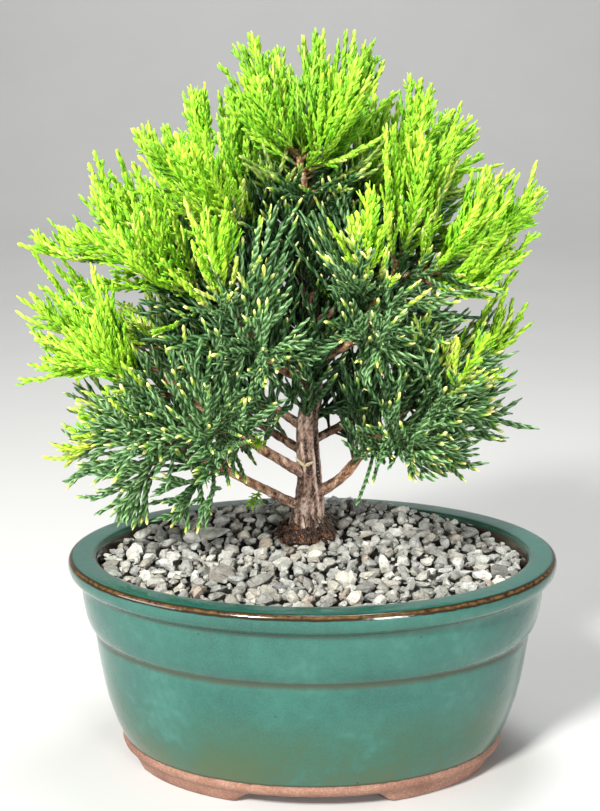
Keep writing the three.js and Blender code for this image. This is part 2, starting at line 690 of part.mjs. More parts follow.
// A side twig drawn out of one face of a leader. A long twig forks twice on its way to its tip.
// Where there is no room the twig is shorter, or the face stays bare.
function growTwig(sprout, index, corners, axis, full, fork) {
  const { middle, heading } = sprout.stance(corners, axis);
  for (const length of TWIG_TRIES.map((share) => share * full)) {
    const peak = middle.clone().addScaledVector(heading, length);
    peak.z += TWIG_LIFT * length;
    const forkAt = FORK_PLACE * length;
    const forked = fork && length > FORK_LEAST;
    const clearFrom = middle.clone().addScaledVector(heading, TWIG_START);
    if (!isClear(index, [clearFrom, peak])) {
      continue;
    }
    const pieces = [[clearFrom, peak]];
    if (!forked) {
      sprout.tip(corners, peak);
    } else {
      const low = sprout.carried(corners, middle, heading, forkAt, FORK_TAPERS[0]);
      const high = sprout.carried(corners, middle, heading, forkAt + TWIG_FOOT, FORK_TAPERS[1]);
      const growing = [];
      for (const side of [1, 3]) {
        const face = sprout.face(low, high, side);
        const stance = sprout.stance(face, heading);
        const reach = (FORK_LENGTH + FORK_SPREAD * draw(index, side + full)) * length;
        const end = stance.middle.clone().addScaledVector(stance.heading, reach);
        if (isClear(index, [stance.middle, end])) {
          sprout.tip(face, end);
          growing.push(side);
          pieces.push([stance.middle.clone().addScaledVector(stance.heading, FORK_START), end]);
        }
      }
      sprout.walls(corners, low);
      sprout.walls(low, high, growing);
      sprout.tip(high, peak);
    }
    pieces.forEach((piece) => occupy(index, piece, [TWIG_RADIUS, TWIG_RADIUS]));
    return true;
  }
  return false;
}

// One spray: a four-sided leader with twigs in opposite pairs, each pair square to the last
function makeSpray(index) {
  const curve = LEADERS[index];
  const reach = curve.getLength();
  const sprout = new Sprout();
  const pairs = Math.max(3, Math.round(reach / TWIG_PITCH) - 1);
  const ringAt = (share) => {
    const centre = curve.getPointAt(share);
    const along = curve.getTangentAt(share);
    const across = new THREE.Vector3(0, 0, 1).cross(along).applyAxisAngle(along, index).normalize();
    const beside = along.clone().cross(across);
    const radius = LEADER_RADIUS * (1 - LEADER_TAPER * share ** 2);
    return sprout.ring([0, 1, 2, 3].map((k) => centre.clone()
      .addScaledVector(across, radius * Math.cos((k * Math.PI) / 2))
      .addScaledVector(beside, radius * Math.sin((k * Math.PI) / 2))));
  };
  let last = ringAt(0);
  sprout.faces.push(last[0], last[2], last[1], last[0], last[3], last[2]);
  for (let k = 0; k < pairs; k += 1) {
    const share = TWIG_FIRST + (TWIG_STRETCH * (k + 0.5 * draw(index + 31, k))) / pairs;
    const low = ringAt(share);
    const high = ringAt(share + TWIG_FOOT / reach);
    sprout.walls(last, low);
    const growing = [];
    for (const side of [k % 2, (k % 2) + 2]) {
      const uneven = 0.8 + 0.4 * draw(index + 83, k + 7 * side);
      const full = Math.min((TWIG_LEAST + TWIG_MORE * (1 - share)) * reach * uneven, TWIG_LONGEST);
      const corners = sprout.face(low, high, side);
      if (growTwig(sprout, index, corners, curve.getTangentAt(share), full, k < FORKED_PAIRS)) {
        growing.push(side);
      }
    }
    sprout.walls(low, high, growing);
    last = high;
  }
  sprout.tip(last, curve.getPoint(1));
  return sprout.geometry();
}

// The assembly

function finish(colour, roughness) {
  return new THREE.MeshStandardMaterial({ color: colour, roughness, metalness: 0 });
}

const bonsai = new THREE.Group();

function place(name, geometry, material) {
  const mesh = new THREE.Mesh(geometry, material);
  mesh.name = name;
  bonsai.add(mesh);
}

place('pot', makePot(), finish(COLOURS.glaze, 0.25));
place('drain_screen_left', makeScreen(-DRAIN_SPACING / 2), finish(COLOURS.mesh, 0.6));
place('drain_screen_right', makeScreen(DRAIN_SPACING / 2), finish(COLOURS.mesh, 0.6));
place('soil', makeSoil(), finish(COLOURS.soil, 0.95));
place('gravel', makeGravel(), finish(COLOURS.gravel, 0.9));
place('trunk', makeTrunk(), finish(COLOURS.bark, 0.85));

const counts = { gold: 0, green: 0 };
SPRAYS.forEach((spray, index) => {
  const colour = spray[4];
  counts[colour] += 1;
  const number = String(counts[colour]).padStart(2, '0');
  place(`spray_${colour}_${number}`, makeSpray(index), finish(COLOURS[colour], 0.6));
});

// The origin is at the bottom centre of the whole object
const bounds = new THREE.Box3().setFromObject(bonsai);
bonsai.position.set(-(bounds.min.x + bounds.max.x) / 2, -(bounds.min.y + bounds.max.y) / 2, -bounds.min.z);

export default bonsai;
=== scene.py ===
"""A golden juniper bonsai in an oval glazed pot, dressed for its portrait.

Lengths in the tables are millimetres in the pot's own frame: x to the right and y away
from the viewer, both from the middle of the pot, and z up from the plane of the feet.
"""
import logging
import math
from dataclasses import dataclass, field, replace
from enum import Enum

import bpy
import numpy as np
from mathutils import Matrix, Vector


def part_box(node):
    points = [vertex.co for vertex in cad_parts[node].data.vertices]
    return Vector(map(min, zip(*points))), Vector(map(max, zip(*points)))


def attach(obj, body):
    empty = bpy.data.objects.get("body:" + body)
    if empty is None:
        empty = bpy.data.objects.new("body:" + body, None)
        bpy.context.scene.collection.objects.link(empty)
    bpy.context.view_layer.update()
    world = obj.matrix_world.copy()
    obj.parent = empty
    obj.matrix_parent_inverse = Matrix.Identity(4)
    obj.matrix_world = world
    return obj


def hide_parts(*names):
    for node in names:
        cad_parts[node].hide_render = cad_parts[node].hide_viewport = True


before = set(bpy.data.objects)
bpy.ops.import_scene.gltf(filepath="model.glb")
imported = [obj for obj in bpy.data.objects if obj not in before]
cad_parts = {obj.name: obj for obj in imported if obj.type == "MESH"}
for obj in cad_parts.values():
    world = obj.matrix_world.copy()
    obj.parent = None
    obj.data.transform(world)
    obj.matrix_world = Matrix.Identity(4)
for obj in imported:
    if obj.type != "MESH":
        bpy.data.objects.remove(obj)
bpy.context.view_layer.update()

LOG = logging.getLogger("bonsai")
MM = 0.001

POT_LOW, POT_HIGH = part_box("pot")
PLACE = np.array([(POT_LOW.x + POT_HIGH.x) / 2, (POT_LOW.y + POT_HIGH.y) / 2, POT_LOW.z])
UP = np.array([0.0, 0.0, 1.0])
Array = np.ndarray
Material = bpy.types.Material
Node = bpy.types.Node
Piece = bpy.types.Object
Table = tuple[tuple[float, ...], ...]
Pair = tuple[float, float]
Spot = tuple[float, float, float]
Colour = tuple[float, float, float, float]


class Slot(Enum):
    """The record's material slots."""

    POT = "glazed_pot"
    SCREEN = "screen"
    SOIL = "soil"
    GRAVEL = "gravel"
    BARK = "bark"
    GOLD = "gold_foliage"
    GREEN = "green_foliage"


class Growth(Enum):
    """How a spray is coloured: new golden growth, or older green growth."""

    GOLD = "gold"
    GREEN = "green"


def draw(seed: float, index: float) -> float:
    """A seeded number between 0 and 1: the fraction of a large multiple of a sine."""
    wave = math.sin(seed * 12.9898 + index * 78.233) * 43758.5453
    return wave - math.floor(wave)


def linked(name: str, data: bpy.types.ID) -> Piece:
    """A new object, linked to the scene.

    Args:
        name: The object's name.
        data: Its mesh, light or camera.

    Returns:
        The object.
    """
    made = bpy.data.objects.new(name, data)
    bpy.context.collection.objects.link(made)
    return made


def unit(rows: Array) -> Array:
    """Each vector along the last axis, divided by its length."""
    return rows / np.maximum(np.linalg.norm(rows, axis=-1, keepdims=True), 1e-9)


def square_to(rows: Array, axes: Array) -> Array:
    """Each vector less its share along a unit axis, at unit length."""
    return unit(rows - np.sum(rows * axes, axis=-1, keepdims=True) * axes)


def leaning(axis: Array, aside: Array, angle: Array) -> Array:
    """Directions between two: the axis times the angle's cosine plus the other times its sine."""
    return axis * np.cos(angle)[:, None] + aside * np.sin(angle)[:, None]


def spokes(across: Array, beside: Array, turn: Array) -> Array:
    """Directions round each place: across times the turn's cosine plus beside times its sine."""
    return across[:, None] * np.cos(turn)[None, :, None] + beside[:, None] * np.sin(turn)[None, :, None]


def ease(share: Array) -> Array:
    """The smooth step 3s² − 2s³ of a share held between 0 and 1."""
    held = np.clip(share, 0.0, 1.0)
    return held * held * (3.0 - 2.0 * held)


def ripple(points: Array, size: float, seed: int) -> Array:
    """Soft noise: the mean of seven sine waves that run in seeded directions.

    Args:
        points: Places, one to a row.
        size: The length of a wave.
        seed: Picks the directions and phases.

    Returns:
        A value for each place, most of them between −0.6 and 0.6.
    """
    rng = np.random.default_rng(seed)
    ways = unit(rng.normal(size=(7, 3))) * rng.uniform(0.7, 1.5, (7, 1))
    phases = rng.uniform(0, 2 * math.pi, 7)
    return np.sin(points @ ways.T * (2 * math.pi / size) + phases).mean(axis=-1) * 1.6


@dataclass
class Surface:
    """Points in the pot's frame, with the faces between them and marks on the points."""

    points: Array
    quads: Array = field(default_factory=lambda: np.zeros((0, 4), int))
    triangles: Array = field(default_factory=lambda: np.zeros((0, 3), int))
    marks: dict[str, Array] = field(default_factory=dict)

    @staticmethod
    def joined(parts: list["Surface"]) -> "Surface":
        """Several surfaces as one, side by side.

        Args:
            parts: Surfaces that carry the same marks.

        Returns:
            The one surface.
        """
        starts = np.cumsum([0] + [len(part.points) for part in parts[:-1]])
        return Surface(
            np.concatenate([part.points for part in parts]),
            np.concatenate([part.quads + start for part, start in zip(parts, starts)]),
            np.concatenate([part.triangles + start for part, start in zip(parts, starts)]),
            {name: np.concatenate([part.marks[name] for part in parts]) for name in parts[0].marks},
        )

    def count(self) -> int:
        """The number of triangles."""
        return 2 * len(self.quads) + len(self.triangles)

    def build(self, name: str, material: Material, smooth: bool = True) -> Piece:
        """Makes the Blender object, at the origin, with its place in its mesh.

        Args:
            name: The object's name.
            material: Its finish.
            smooth: Whether its faces are shaded smooth.

        Returns:
            The object, linked to the scene.
        """
        mesh = bpy.data.meshes.new(name)
        corners = np.concatenate([self.quads.ravel(), self.triangles.ravel()]).astype(np.int32)
        sizes = np.concatenate([np.full(len(self.quads), 4), np.full(len(self.triangles), 3)])
        mesh.vertices.add(len(self.points))
        mesh.vertices.foreach_set("co", (self.points * MM + PLACE).astype(np.float32).ravel())
        mesh.loops.add(len(corners))
        mesh.loops.foreach_set("vertex_index", corners)
        mesh.polygons.add(len(sizes))
        mesh.polygons.foreach_set("loop_start", (np.cumsum(sizes) - sizes).astype(np.int32))
        mesh.polygons.foreach_set("use_smooth", np.full(len(sizes), smooth))
        mesh.update(calc_edges=True)
        mesh.validate()
        for mark, values in self.marks.items():
            layer = mesh.attributes.new(mark, "FLOAT", "POINT")
            layer.data.foreach_set("value", values.astype(np.float32))
        mesh.materials.append(material)
        LOG.info("%s: %d triangles", name, self.count())
        return linked(name, mesh)


def settle(piece: Piece, slot: Slot, *nodes: str) -> Piece:
    """Hands a piece to the frame: the body it rides on and the solids it stands for.

    Args:
        piece: The finished piece.
        slot: The record's slot that its finish comes from; not used.
        nodes: Names of the solids that it replaces.

    Returns:
        The same piece.
    """
    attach(piece, "root")
    if nodes:
        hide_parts(*nodes)
    return piece


def grid_quads(rows: int, columns: int) -> Array:
    """The four-sided faces of a grid of rings whose points are numbered ring by ring.

    Args:
        rows: Number of rings.
        columns: Number of points in a ring.

    Returns:
        Corner numbers, four to a face.
    """
    row, column = np.meshgrid(np.arange(rows - 1), np.arange(columns), indexing="ij")
    low = row * columns + column
    beside = row * columns + (column + 1) % columns
    return np.stack([low, beside, beside + columns, low + columns], axis=-1).reshape(-1, 4)


def fan(start: int, columns: int, pole: int, under: bool = False) -> Array:
    """The triangles between one ring of a grid and the point that closes it.

    Args:
        start: Number of the ring's first point.
        columns: Number of points in the ring.
        pole: Number of the closing point.
        under: Whether the faces look the other way, as on a grid's first ring.

    Returns:
        Corner numbers, three to a face.
    """
    around = np.arange(columns)
    beside = (around + 1) % columns
    pair = (beside, around) if under else (around, beside)
    return np.stack([start + pair[0], start + pair[1], np.full(columns, pole)], axis=1)


def through(points: Array, shares: Array) -> Array:
    """Places on the smooth curve through some points.

    Each stretch is the cubic that leaves and meets its two points with the slopes of a
    centripetal Catmull-Rom spline, whose knots lie apart by the root of the distance.

    Args:
        points: The points in order.
        shares: Shares of the way, 0 at the first point and 1 at the last.

    Returns:
        One place for each share.
    """
    ends = np.vstack([2 * points[0] - points[1], points, 2 * points[-1] - points[-2]])
    way = np.clip(shares, 0, 1) * (len(points) - 1)
    cell = np.minimum(way.astype(int), len(points) - 2)
    t = (way - cell)[:, None]
    p0, p1, p2, p3 = (ends[cell + k] for k in range(4))
    d0, d1, d2 = (
        np.sqrt(np.linalg.norm(b - a, axis=1, keepdims=True)) for a, b in ((p0, p1), (p1, p2), (p2, p3))
    )
    leave = ((p1 - p0) / d0 - (p2 - p0) / (d0 + d1) + (p2 - p1) / d1) * d1
    meet = ((p2 - p1) / d1 - (p3 - p1) / (d1 + d2) + (p3 - p2) / d2) * d1
    return (
        (2 * t**3 - 3 * t**2 + 1) * p1 + (t**3 - 2 * t**2 + t) * leave
        + (3 * t**2 - 2 * t**3) * p2 + (t**3 - t**2) * meet
    )


# Finishes


class Tree:
    """A material's node tree, with short calls to add nodes and link them."""

    def __init__(self, nodes: bpy.types.NodeTree) -> None:
        """Keeps the tree that is added to."""
        self.tree = nodes
        self.shader: Node | None = None

    def fill(self, made: Node, inputs: dict[str | int, object]) -> None:
        """Fills inputs of a node: a socket is linked, anything else set.

        Args:
            made: The node.
            inputs: What goes into each input, by its name or number.
        """
        for key, value in inputs.items():
            if isinstance(value, bpy.types.NodeSocket):
                self.tree.links.new(value, made.inputs[key])
            else:
                made.inputs[key].default_value = value

    def node(self, kind: str, settings: dict | None = None, **sockets: object) -> Node:
        """Adds a node, sets it and fills its inputs.

        Args:
            kind: Blender's name of the node type.
            settings: Values of the node's own properties.
            sockets: Inputs by name, with underscores for spaces, or by number as in in_0.

        Returns:
            The node.
        """
        made = self.tree.nodes.new(kind)
        for name, value in (settings or {}).items():
            setattr(made, name, value)
        for name, value in sockets.items():
            self.fill(made, {int(name[3:]) if name.startswith("in_") else name.replace("_", " "): value})
        return made

    def feed(self, **sockets: object) -> None:
        """Fills the shader's inputs, named with underscores for spaces."""
        self.fill(self.shader, {name.replace("_", " "): value for name, value in sockets.items()})

    def noise(self, where: object, scale: float, detail: float = 3.0, roughness: float = 0.55) -> object:
        """The socket of noise between 0 and 1, with so many waves to the metre and octaves."""
        given = {"Vector": where, "Scale": scale, "Detail": detail, "Roughness": roughness}
        return self.node("ShaderNodeTexNoise", **given).outputs["Fac"]

    def stretch(self, value: object, low: float, high: float,
                to_low: float = 0.0, to_high: float = 1.0) -> object:
        """The socket of a value carried from one range to another and held there."""
        span = {"in_1": low, "in_2": high, "in_3": to_low, "in_4": to_high}
        return self.node("ShaderNodeMapRange", in_0=value, **span).outputs[0]

    def math(self, kind: str, first: object, second: object) -> object:
        """The socket of a Math node's result, from two sockets or numbers."""
        return self.node("ShaderNodeMath", {"operation": kind}, in_0=first, in_1=second).outputs[0]

    def times(self, first: object, second: object) -> object:
        """The socket of two values' product."""
        return self.math("MULTIPLY", first, second)

    def plus(self, first: object, second: object) -> object:
        """The socket of two values' sum."""
        return self.math("ADD", first, second)

    def less(self, first: object, second: object) -> object:
        """The socket of the first value less the second."""
        return self.math("SUBTRACT", first, second)

    def blend(self, share: object, first: object, second: object, kind: str = "MIX") -> object:
        """Two colours blended.

        Args:
            share: How much of the second, from 0 to 1.
            first: A colour or its socket.
            second: A colour or its socket.
            kind: Blender's name of the blend type.

        Returns:
            The colour's socket.
        """
        made = self.node("ShaderNodeMix", {"data_type": "RGBA", "blend_type": kind})
        self.fill(made, {0: share, 6: first, 7: second})
        return made.outputs[2]

    def ramp(self, value: object, stops: list[tuple[float, tuple]]) -> object:
        """A colour read off a row of stops.

        Args:
            value: The socket that picks the place on the row.
            stops: Places and their colours.

        Returns:
            The colour's socket.
        """
        made = self.node("ShaderNodeValToRGB", in_0=value)
        ramp = made.color_ramp
        while len(ramp.elements) < len(stops):
            ramp.elements.new(0.5)
        for element, (place, colour) in zip(ramp.elements, stops):
            element.position = place
            element.color = (*colour, 1.0)
        return made.outputs["Color"]

    def mark(self, name: str) -> object:
        """The socket of a mark that the mesh carries."""
        return self.node("ShaderNodeAttribute", {"attribute_name": name}).outputs["Fac"]

    def where(self) -> object:
        """The socket of the object's own coordinates."""
        return self.node("ShaderNodeTexCoord").outputs["Object"]

    def bump(self, height: object, strength: float, distance: float) -> object:
        """The socket of a normal that leans with a height, to a depth in metres."""
        made = self.node("ShaderNodeBump", Height=height, Strength=strength, Distance=distance)
        return made.outputs["Normal"]


def mottle_group() -> bpy.types.ShaderNodeTree:
    """The shared cloudiness of fired, grown and broken surfaces.

    Two noises, one coarse and one fine, are added with a share for the fine one.

    Returns:
        The node group, with Vector, Scale, Fine and Share in and Value out.
    """
    group = bpy.data.node_groups.new("cloudiness", "ShaderNodeTree")
    face = group.interface
    face.new_socket("Vector", in_out="INPUT", socket_type="NodeSocketVector")
    for name, value in (("Scale", 60.0), ("Fine", 8.0), ("Share", 0.35)):
        face.new_socket(name, in_out="INPUT", socket_type="NodeSocketFloat").default_value = value
    face.new_socket("Value", in_out="OUTPUT", socket_type="NodeSocketFloat")
    tree = Tree(group)
    given = tree.node("NodeGroupInput").outputs
    coarse = tree.node("ShaderNodeTexNoise", Vector=given["Vector"], Scale=given["Scale"], Detail=4.0)
    finer = tree.times(given["Scale"], given["Fine"])
    fine = tree.node("ShaderNodeTexNoise", Vector=given["Vector"], Scale=finer, Detail=3.0)
    mixed = tree.node(
        "ShaderNodeMix", {"data_type": "FLOAT"},
        in_0=given["Share"], in_2=coarse.outputs["Fac"], in_3=fine.outputs["Fac"],
    )
    tree.node("NodeGroupOutput", Value=mixed.outputs[0])
    return group


MOTTLE = mottle_group()


def mottle(tree: Tree, where: object, scale: float, fine: float, share: float) -> object:
    """The socket of the shared cloudiness: coarse waves to the metre, and the finer noise's share."""
    given = {"Vector": where, "Scale": scale, "Fine": fine, "Share": share}
    return tree.node("ShaderNodeGroup", {"node_tree": MOTTLE}, **given).outputs["Value"]


@dataclass(frozen=True)
class Finish:
    """One finish: how rough it is at its shader, and the nodes that colour it."""

    name: str
    roughness: float = 0.5

    def material(self) -> Material:
        """Makes the material.

        Returns:
            A material whose shader is fed by this finish's own nodes.
        """
        made = bpy.data.materials.new(self.name)
        made.use_nodes = True
        made.node_tree.nodes.clear()
        tree = Tree(made.node_tree)
        tree.shader = tree.node("ShaderNodeBsdfPrincipled", Roughness=self.roughness)
        tree.node("ShaderNodeOutputMaterial", Surface=tree.shader.outputs["BSDF"])
        self.colour(tree)
        return made

    def colour(self, tree: Tree) -> None:
        """Adds the nodes that colour the finish."""
        raise NotImplementedError


@dataclass(frozen=True)
class GlazeFinish(Finish):
    """Glossy green glaze, brown where it thins over edges, on bare pink clay at the foot."""

    lines: Table = ()
    rim: Pair = (0.0, 1.0)
    # Middle and half width of the rim's flat top along the profile, where the glaze is darkened as painted
    # shade.
    flat: Pair = (0.0, 1.0)
    clay_edge: float = 0.0
    dark_from: float = 0.0
    iron_reach: Pair = (0.046, 0.016)

    def band(self, tree: Tree, place: object, lines: Table, core: float) -> object:
        """A mask that is 1 on some lines round the pot.

        Args:
            tree: The material's nodes.
            place: The socket of the distance along the profile.
            lines: The middle and half width of each line.
            core: Share of the half width that is fully covered.

        Returns:
            The mask's socket.
        """
        mask = None
        for centre, half in lines:
            off = tree.math("ABSOLUTE", tree.less(place, centre), 0.0)
            line = tree.stretch(off, half, half * core)
            mask = line if mask is None else tree.math("MAXIMUM", mask, line)
        return mask

    def colour(self, tree: Tree) -> None:
        """Green clouds, a rim top evened and darkened as painted shade, then thin brown lines at the edges,
        pinholes, and clay below the glaze.

        Args:
            tree: The material's nodes.
        """
        where = tree.where()
        run = tree.mark("run")
        wobble = tree.times(tree.less(tree.noise(where, 260.0, 4.0), 0.5), 1.1)
        place = tree.plus(run, wobble)
        cloud = mottle(tree, where, 26.0, 9.0, 0.3)
        glaze = tree.ramp(cloud, [
            (0.30, (0.009, 0.066, 0.051)), (0.46, (0.012, 0.086, 0.066)),
            (0.58, (0.017, 0.104, 0.080)), (0.72, (0.038, 0.150, 0.118)),
        ])
        grain = tree.stretch(tree.noise(where, 1500.0, 2.0), 0.35, 0.7)
        glaze = tree.blend(tree.times(grain, 0.18), glaze, (0.060, 0.200, 0.155, 1.0))
        height = tree.node("ShaderNodeSeparateXYZ", in_0=where).outputs["Z"]
        lower = tree.times(tree.stretch(height, *self.iron_reach), tree.stretch(cloud, 0.70, 0.42))
        glaze = tree.blend(tree.times(lower, 0.95), glaze, (0.052, 0.092, 0.038, 1.0))
        # The rim's flat top is pulled to one mid teal, darker than the glaze's pale clouds: painted shade in
        # place of a dark reflection.
        flat = self.band(tree, run, (self.flat,), 0.8)
        glaze = tree.blend(tree.times(flat, 0.6), glaze, (0.018, 0.118, 0.092, 1.0))
        thin = self.band(tree, place, self.lines, 0.2)
        glaze = tree.blend(tree.times(thin, 0.85), glaze, (0.030, 0.034, 0.015, 1.0))
        rim = self.band(tree, place, (self.rim,), 0.75)
        core = self.band(tree, place, ((self.rim[0], self.rim[1] * 0.50),), 0.1)
        fire = tree.stretch(tree.noise(where, 420.0, 3.0), 0.36, 0.60)
        glaze = tree.blend(rim, glaze, (0.026, 0.015, 0.009, 1.0))
        glaze = tree.blend(tree.times(core, fire), glaze, (0.150, 0.084, 0.026, 1.0))
        hole = tree.node("ShaderNodeTexVoronoi", Vector=where, Scale=115.0)
        pin = tree.stretch(hole.outputs["Distance"], 0.055, 0.035)
        rare = tree.stretch(hole.outputs["Color"], 0.30, 0.22)
        glaze = tree.blend(tree.times(pin, rare), glaze, (0.008, 0.014, 0.011, 1.0))
        inside = tree.stretch(place, self.dark_from, self.dark_from + 1.5)
        glaze = tree.blend(inside, glaze, (0.052, 0.042, 0.032, 1.0))
        bare = tree.stretch(place, self.clay_edge + 0.15, self.clay_edge - 0.15)
        clay = tree.ramp(mottle(tree, where, 90.0, 12.0, 0.5), [
            (0.32, (0.160, 0.068, 0.044)), (0.50, (0.255, 0.122, 0.080)), (0.68, (0.370, 0.212, 0.152)),
        ])
        speck = tree.stretch(tree.noise(where, 2600.0, 2.0), 0.62, 0.70)
        clay = tree.blend(tree.times(speck, 0.5), clay, (0.60, 0.47, 0.40, 1.0))
        colour = tree.blend(bare, glaze, clay)
        rough = tree.stretch(tree.noise(where, 190.0, 3.0), 0.3, 0.7, 0.09, 0.20)
        rough = tree.math("MAXIMUM", rough, tree.times(bare, 0.8))
        skin = tree.times(tree.noise(where, 60.0, 3.0), tree.less(1.0, bare))
        tooth = tree.times(tree.noise(where, 1800.0, 3.0), bare)
        normal = tree.bump(tree.plus(skin, tree.times(tooth, 0.5)), 0.5, 0.0008)
        tree.feed(Base_Color=colour, Roughness=rough, Normal=normal)
        tree.feed(Coat_Weight=0.12, Coat_Roughness=0.06)


@dataclass(frozen=True)
class StoneFinish(Finish):
    """Crushed grey stone: each stone has its own tone and warmth, with cloudy grain and dark pits."""

    def colour(self, tree: Tree) -> None:
        """A tone for each stone, and the darkest tone for the bed as painted shade, then grain and pits over
        it.

        Args:
            tree: The material's nodes.
        """
        where = tree.where()
        # Tone 0, near black, is used only by the bed: painted shade in the gaps between the stones.
        base = tree.ramp(tree.mark("tone"), [
            (0.0, (0.012, 0.010, 0.009)), (0.05, (0.165, 0.162, 0.152)), (0.35, (0.285, 0.282, 0.264)),
            (0.70, (0.440, 0.436, 0.408)), (1.0, (0.680, 0.672, 0.630)),
        ])
        warm = tree.ramp(tree.mark("warmth"), [
            (0.0, (0.95, 0.98, 1.00)), (0.65, (1.0, 1.0, 0.97)), (0.94, (1.05, 0.99, 0.90)),
            (1.0, (1.16, 0.97, 0.84)),
        ])
        base = tree.blend(1.0, base, warm, "MULTIPLY")
        grain = tree.ramp(mottle(tree, where, 420.0, 5.0, 0.5), [
            (0.34, (0.40, 0.39, 0.37)), (0.47, (0.86, 0.85, 0.83)), (0.60, (1.20, 1.19, 1.16)),
        ])
        base = tree.blend(0.9, base, grain, "MULTIPLY")
        pit = tree.stretch(tree.noise(where, 1400.0, 2.0), 0.36, 0.28)
        base = tree.blend(tree.times(pit, 0.75), base, (0.06, 0.055, 0.05, 1.0))
        normal = tree.bump(mottle(tree, where, 700.0, 3.0, 0.5), 0.9, 0.0007)
        tree.feed(Base_Color=base, Normal=normal)


@dataclass(frozen=True)
class CrustFinish(Finish):
    """Red-brown grit and dark soil round the foot of the trunk."""

    def colour(self, tree: Tree) -> None:
        """Dark soil, rust grains and a few glassy specks.

        Args:
            tree: The material's nodes.
        """
        where = tree.where()
        base = tree.ramp(mottle(tree, where, 260.0, 4.0, 0.5), [
            (0.40, (0.012, 0.007, 0.006)), (0.50, (0.042, 0.020, 0.013)),
            (0.58, (0.170, 0.058, 0.018)), (0.68, (0.420, 0.170, 0.060)),
        ])
        speck = tree.stretch(tree.noise(where, 2400.0, 2.0), 0.63, 0.68)
        base = tree.blend(speck, base, (0.55, 0.48, 0.42, 1.0))
        normal = tree.bump(tree.noise(where, 900.0, 4.0), 1.0, 0.001)
        tree.feed(Base_Color=base, Normal=normal)


@dataclass(frozen=True)
class BarkFinish(Finish):
    """Flaking juniper bark: grey-pink and red-brown on the trunk, orange-brown on the branches."""

    def colour(self, tree: Tree) -> None:
        """Strips along the wood, pale on the flakes, and darker where the relief lies low: painted shade in
        the cracks and the crevice.

        Args:
            tree: The material's nodes.
        """
        where = tree.where()
        long = tree.node("ShaderNodeMapping", Vector=where, Scale=(1.0, 1.0, 0.55)).outputs[0]
        strip = mottle(tree, long, 300.0, 5.0, 0.5)
        # The relief mark darkens low bark: painted shade in the cracks and the trunk's crevice, over the
        # bark's own streaks.
        relief = tree.mark("relief")
        depth = tree.plus(tree.times(strip, 0.90), tree.times(relief, 0.28))
        old = tree.ramp(depth, [
            (0.34, (0.030, 0.014, 0.010)), (0.45, (0.215, 0.118, 0.086)),
            (0.57, (0.450, 0.290, 0.222)), (0.70, (0.780, 0.620, 0.520)),
        ])
        young = tree.ramp(depth, [
            (0.34, (0.050, 0.020, 0.011)), (0.46, (0.300, 0.135, 0.064)),
            (0.58, (0.560, 0.300, 0.160)), (0.72, (0.820, 0.600, 0.420)),
        ])
        base = tree.blend(tree.mark("youth"), old, young)
        speck = tree.stretch(tree.noise(where, 1700.0, 2.0), 0.60, 0.66)
        base = tree.blend(tree.times(speck, 0.6), base, (0.66, 0.54, 0.47, 1.0))
        fine = tree.noise(where, 1300.0, 3.0)
        height = tree.plus(strip, tree.times(fine, 0.45))
        tree.feed(Base_Color=base, Normal=tree.bump(height, 1.0, 0.0012))


@dataclass(frozen=True)
class FoliageFinish(Finish):
    """Scale leaves: blue-green when old, cream where new growth starts, then lime and gold."""

    def colour(self, tree: Tree) -> None:
        """Colour by freshness, darker deep in the crown and between the scales as painted shade, lighter on
        the scales' tips as painted highlight, with a pale bloom on old tips that is partly painted highlight,
        and brown where the shoot is woody.

        Args:
            tree: The material's nodes.
        """
        where = tree.where()
        blotch = tree.times(tree.less(tree.noise(where, 300.0, 2.0), 0.5), 0.22)
        fresh = tree.plus(tree.mark("fresh"), blotch)
        leaf = tree.ramp(fresh, [
            (0.00, (0.048, 0.142, 0.038)), (0.24, (0.110, 0.300, 0.042)), (0.38, (0.400, 0.540, 0.080)),
            (0.48, (0.880, 0.820, 0.350)), (0.60, (0.540, 0.730, 0.085)), (0.76, (0.360, 0.680, 0.036)),
            (1.00, (0.200, 0.530, 0.022)),
        ])
        # A per-shoot mark multiplies the leaves: darker deep in the crown as painted shade, with a random
        # spread of tone.
        tint = tree.mark("tint")
        leaf = tree.blend(tree.stretch(fresh, 0.3, 0.5, 1.0, 0.5), leaf, tree.ramp(tint, [
            (0.0, (0.38, 0.54, 0.50)), (0.35, (0.76, 0.87, 0.78)), (0.7, (1.08, 1.04, 0.92)),
            (1.0, (1.18, 1.12, 0.88)),
        ]), "MULTIPLY")
        tooth = tree.mark("tooth")
        # Darker on the cord between the scales and lighter on their tips: painted shade and painted
        # highlight.
        shade = tree.stretch(tooth, 0.0, 0.6, 0.46, 1.12)
        even = tree.node("ShaderNodeCombineColor", in_0=shade, in_1=shade, in_2=shade).outputs[0]
        leaf = tree.blend(1.0, leaf, even, "MULTIPLY")
        # A pale blue-green on the tips of old scales, more on the outer shoots: partly the bloom that old
        # scales carry, partly painted highlight.
        old = tree.stretch(fresh, 0.32, 0.10)
        lit = tree.stretch(tint, 0.1, 0.9, 0.3, 0.8)
        bloom_and_highlight = tree.times(tree.times(old, tree.stretch(tooth, 0.4, 1.0)), lit)
        leaf = tree.blend(bloom_and_highlight, leaf, (0.400, 0.600, 0.330, 1.0))
        wood = tree.ramp(tree.noise(where, 900.0, 3.0), [
            (0.35, (0.060, 0.026, 0.013)), (0.52, (0.215, 0.100, 0.047)), (0.68, (0.400, 0.245, 0.140)),
        ])
        leaf = tree.blend(tree.mark("wood"), leaf, wood)
        normal = tree.bump(tree.noise(where, 1500.0, 2.0), 0.35, 0.0004)
        tree.feed(Base_Color=leaf, Normal=normal)
        tree.feed(Specular_IOR_Level=0.3)


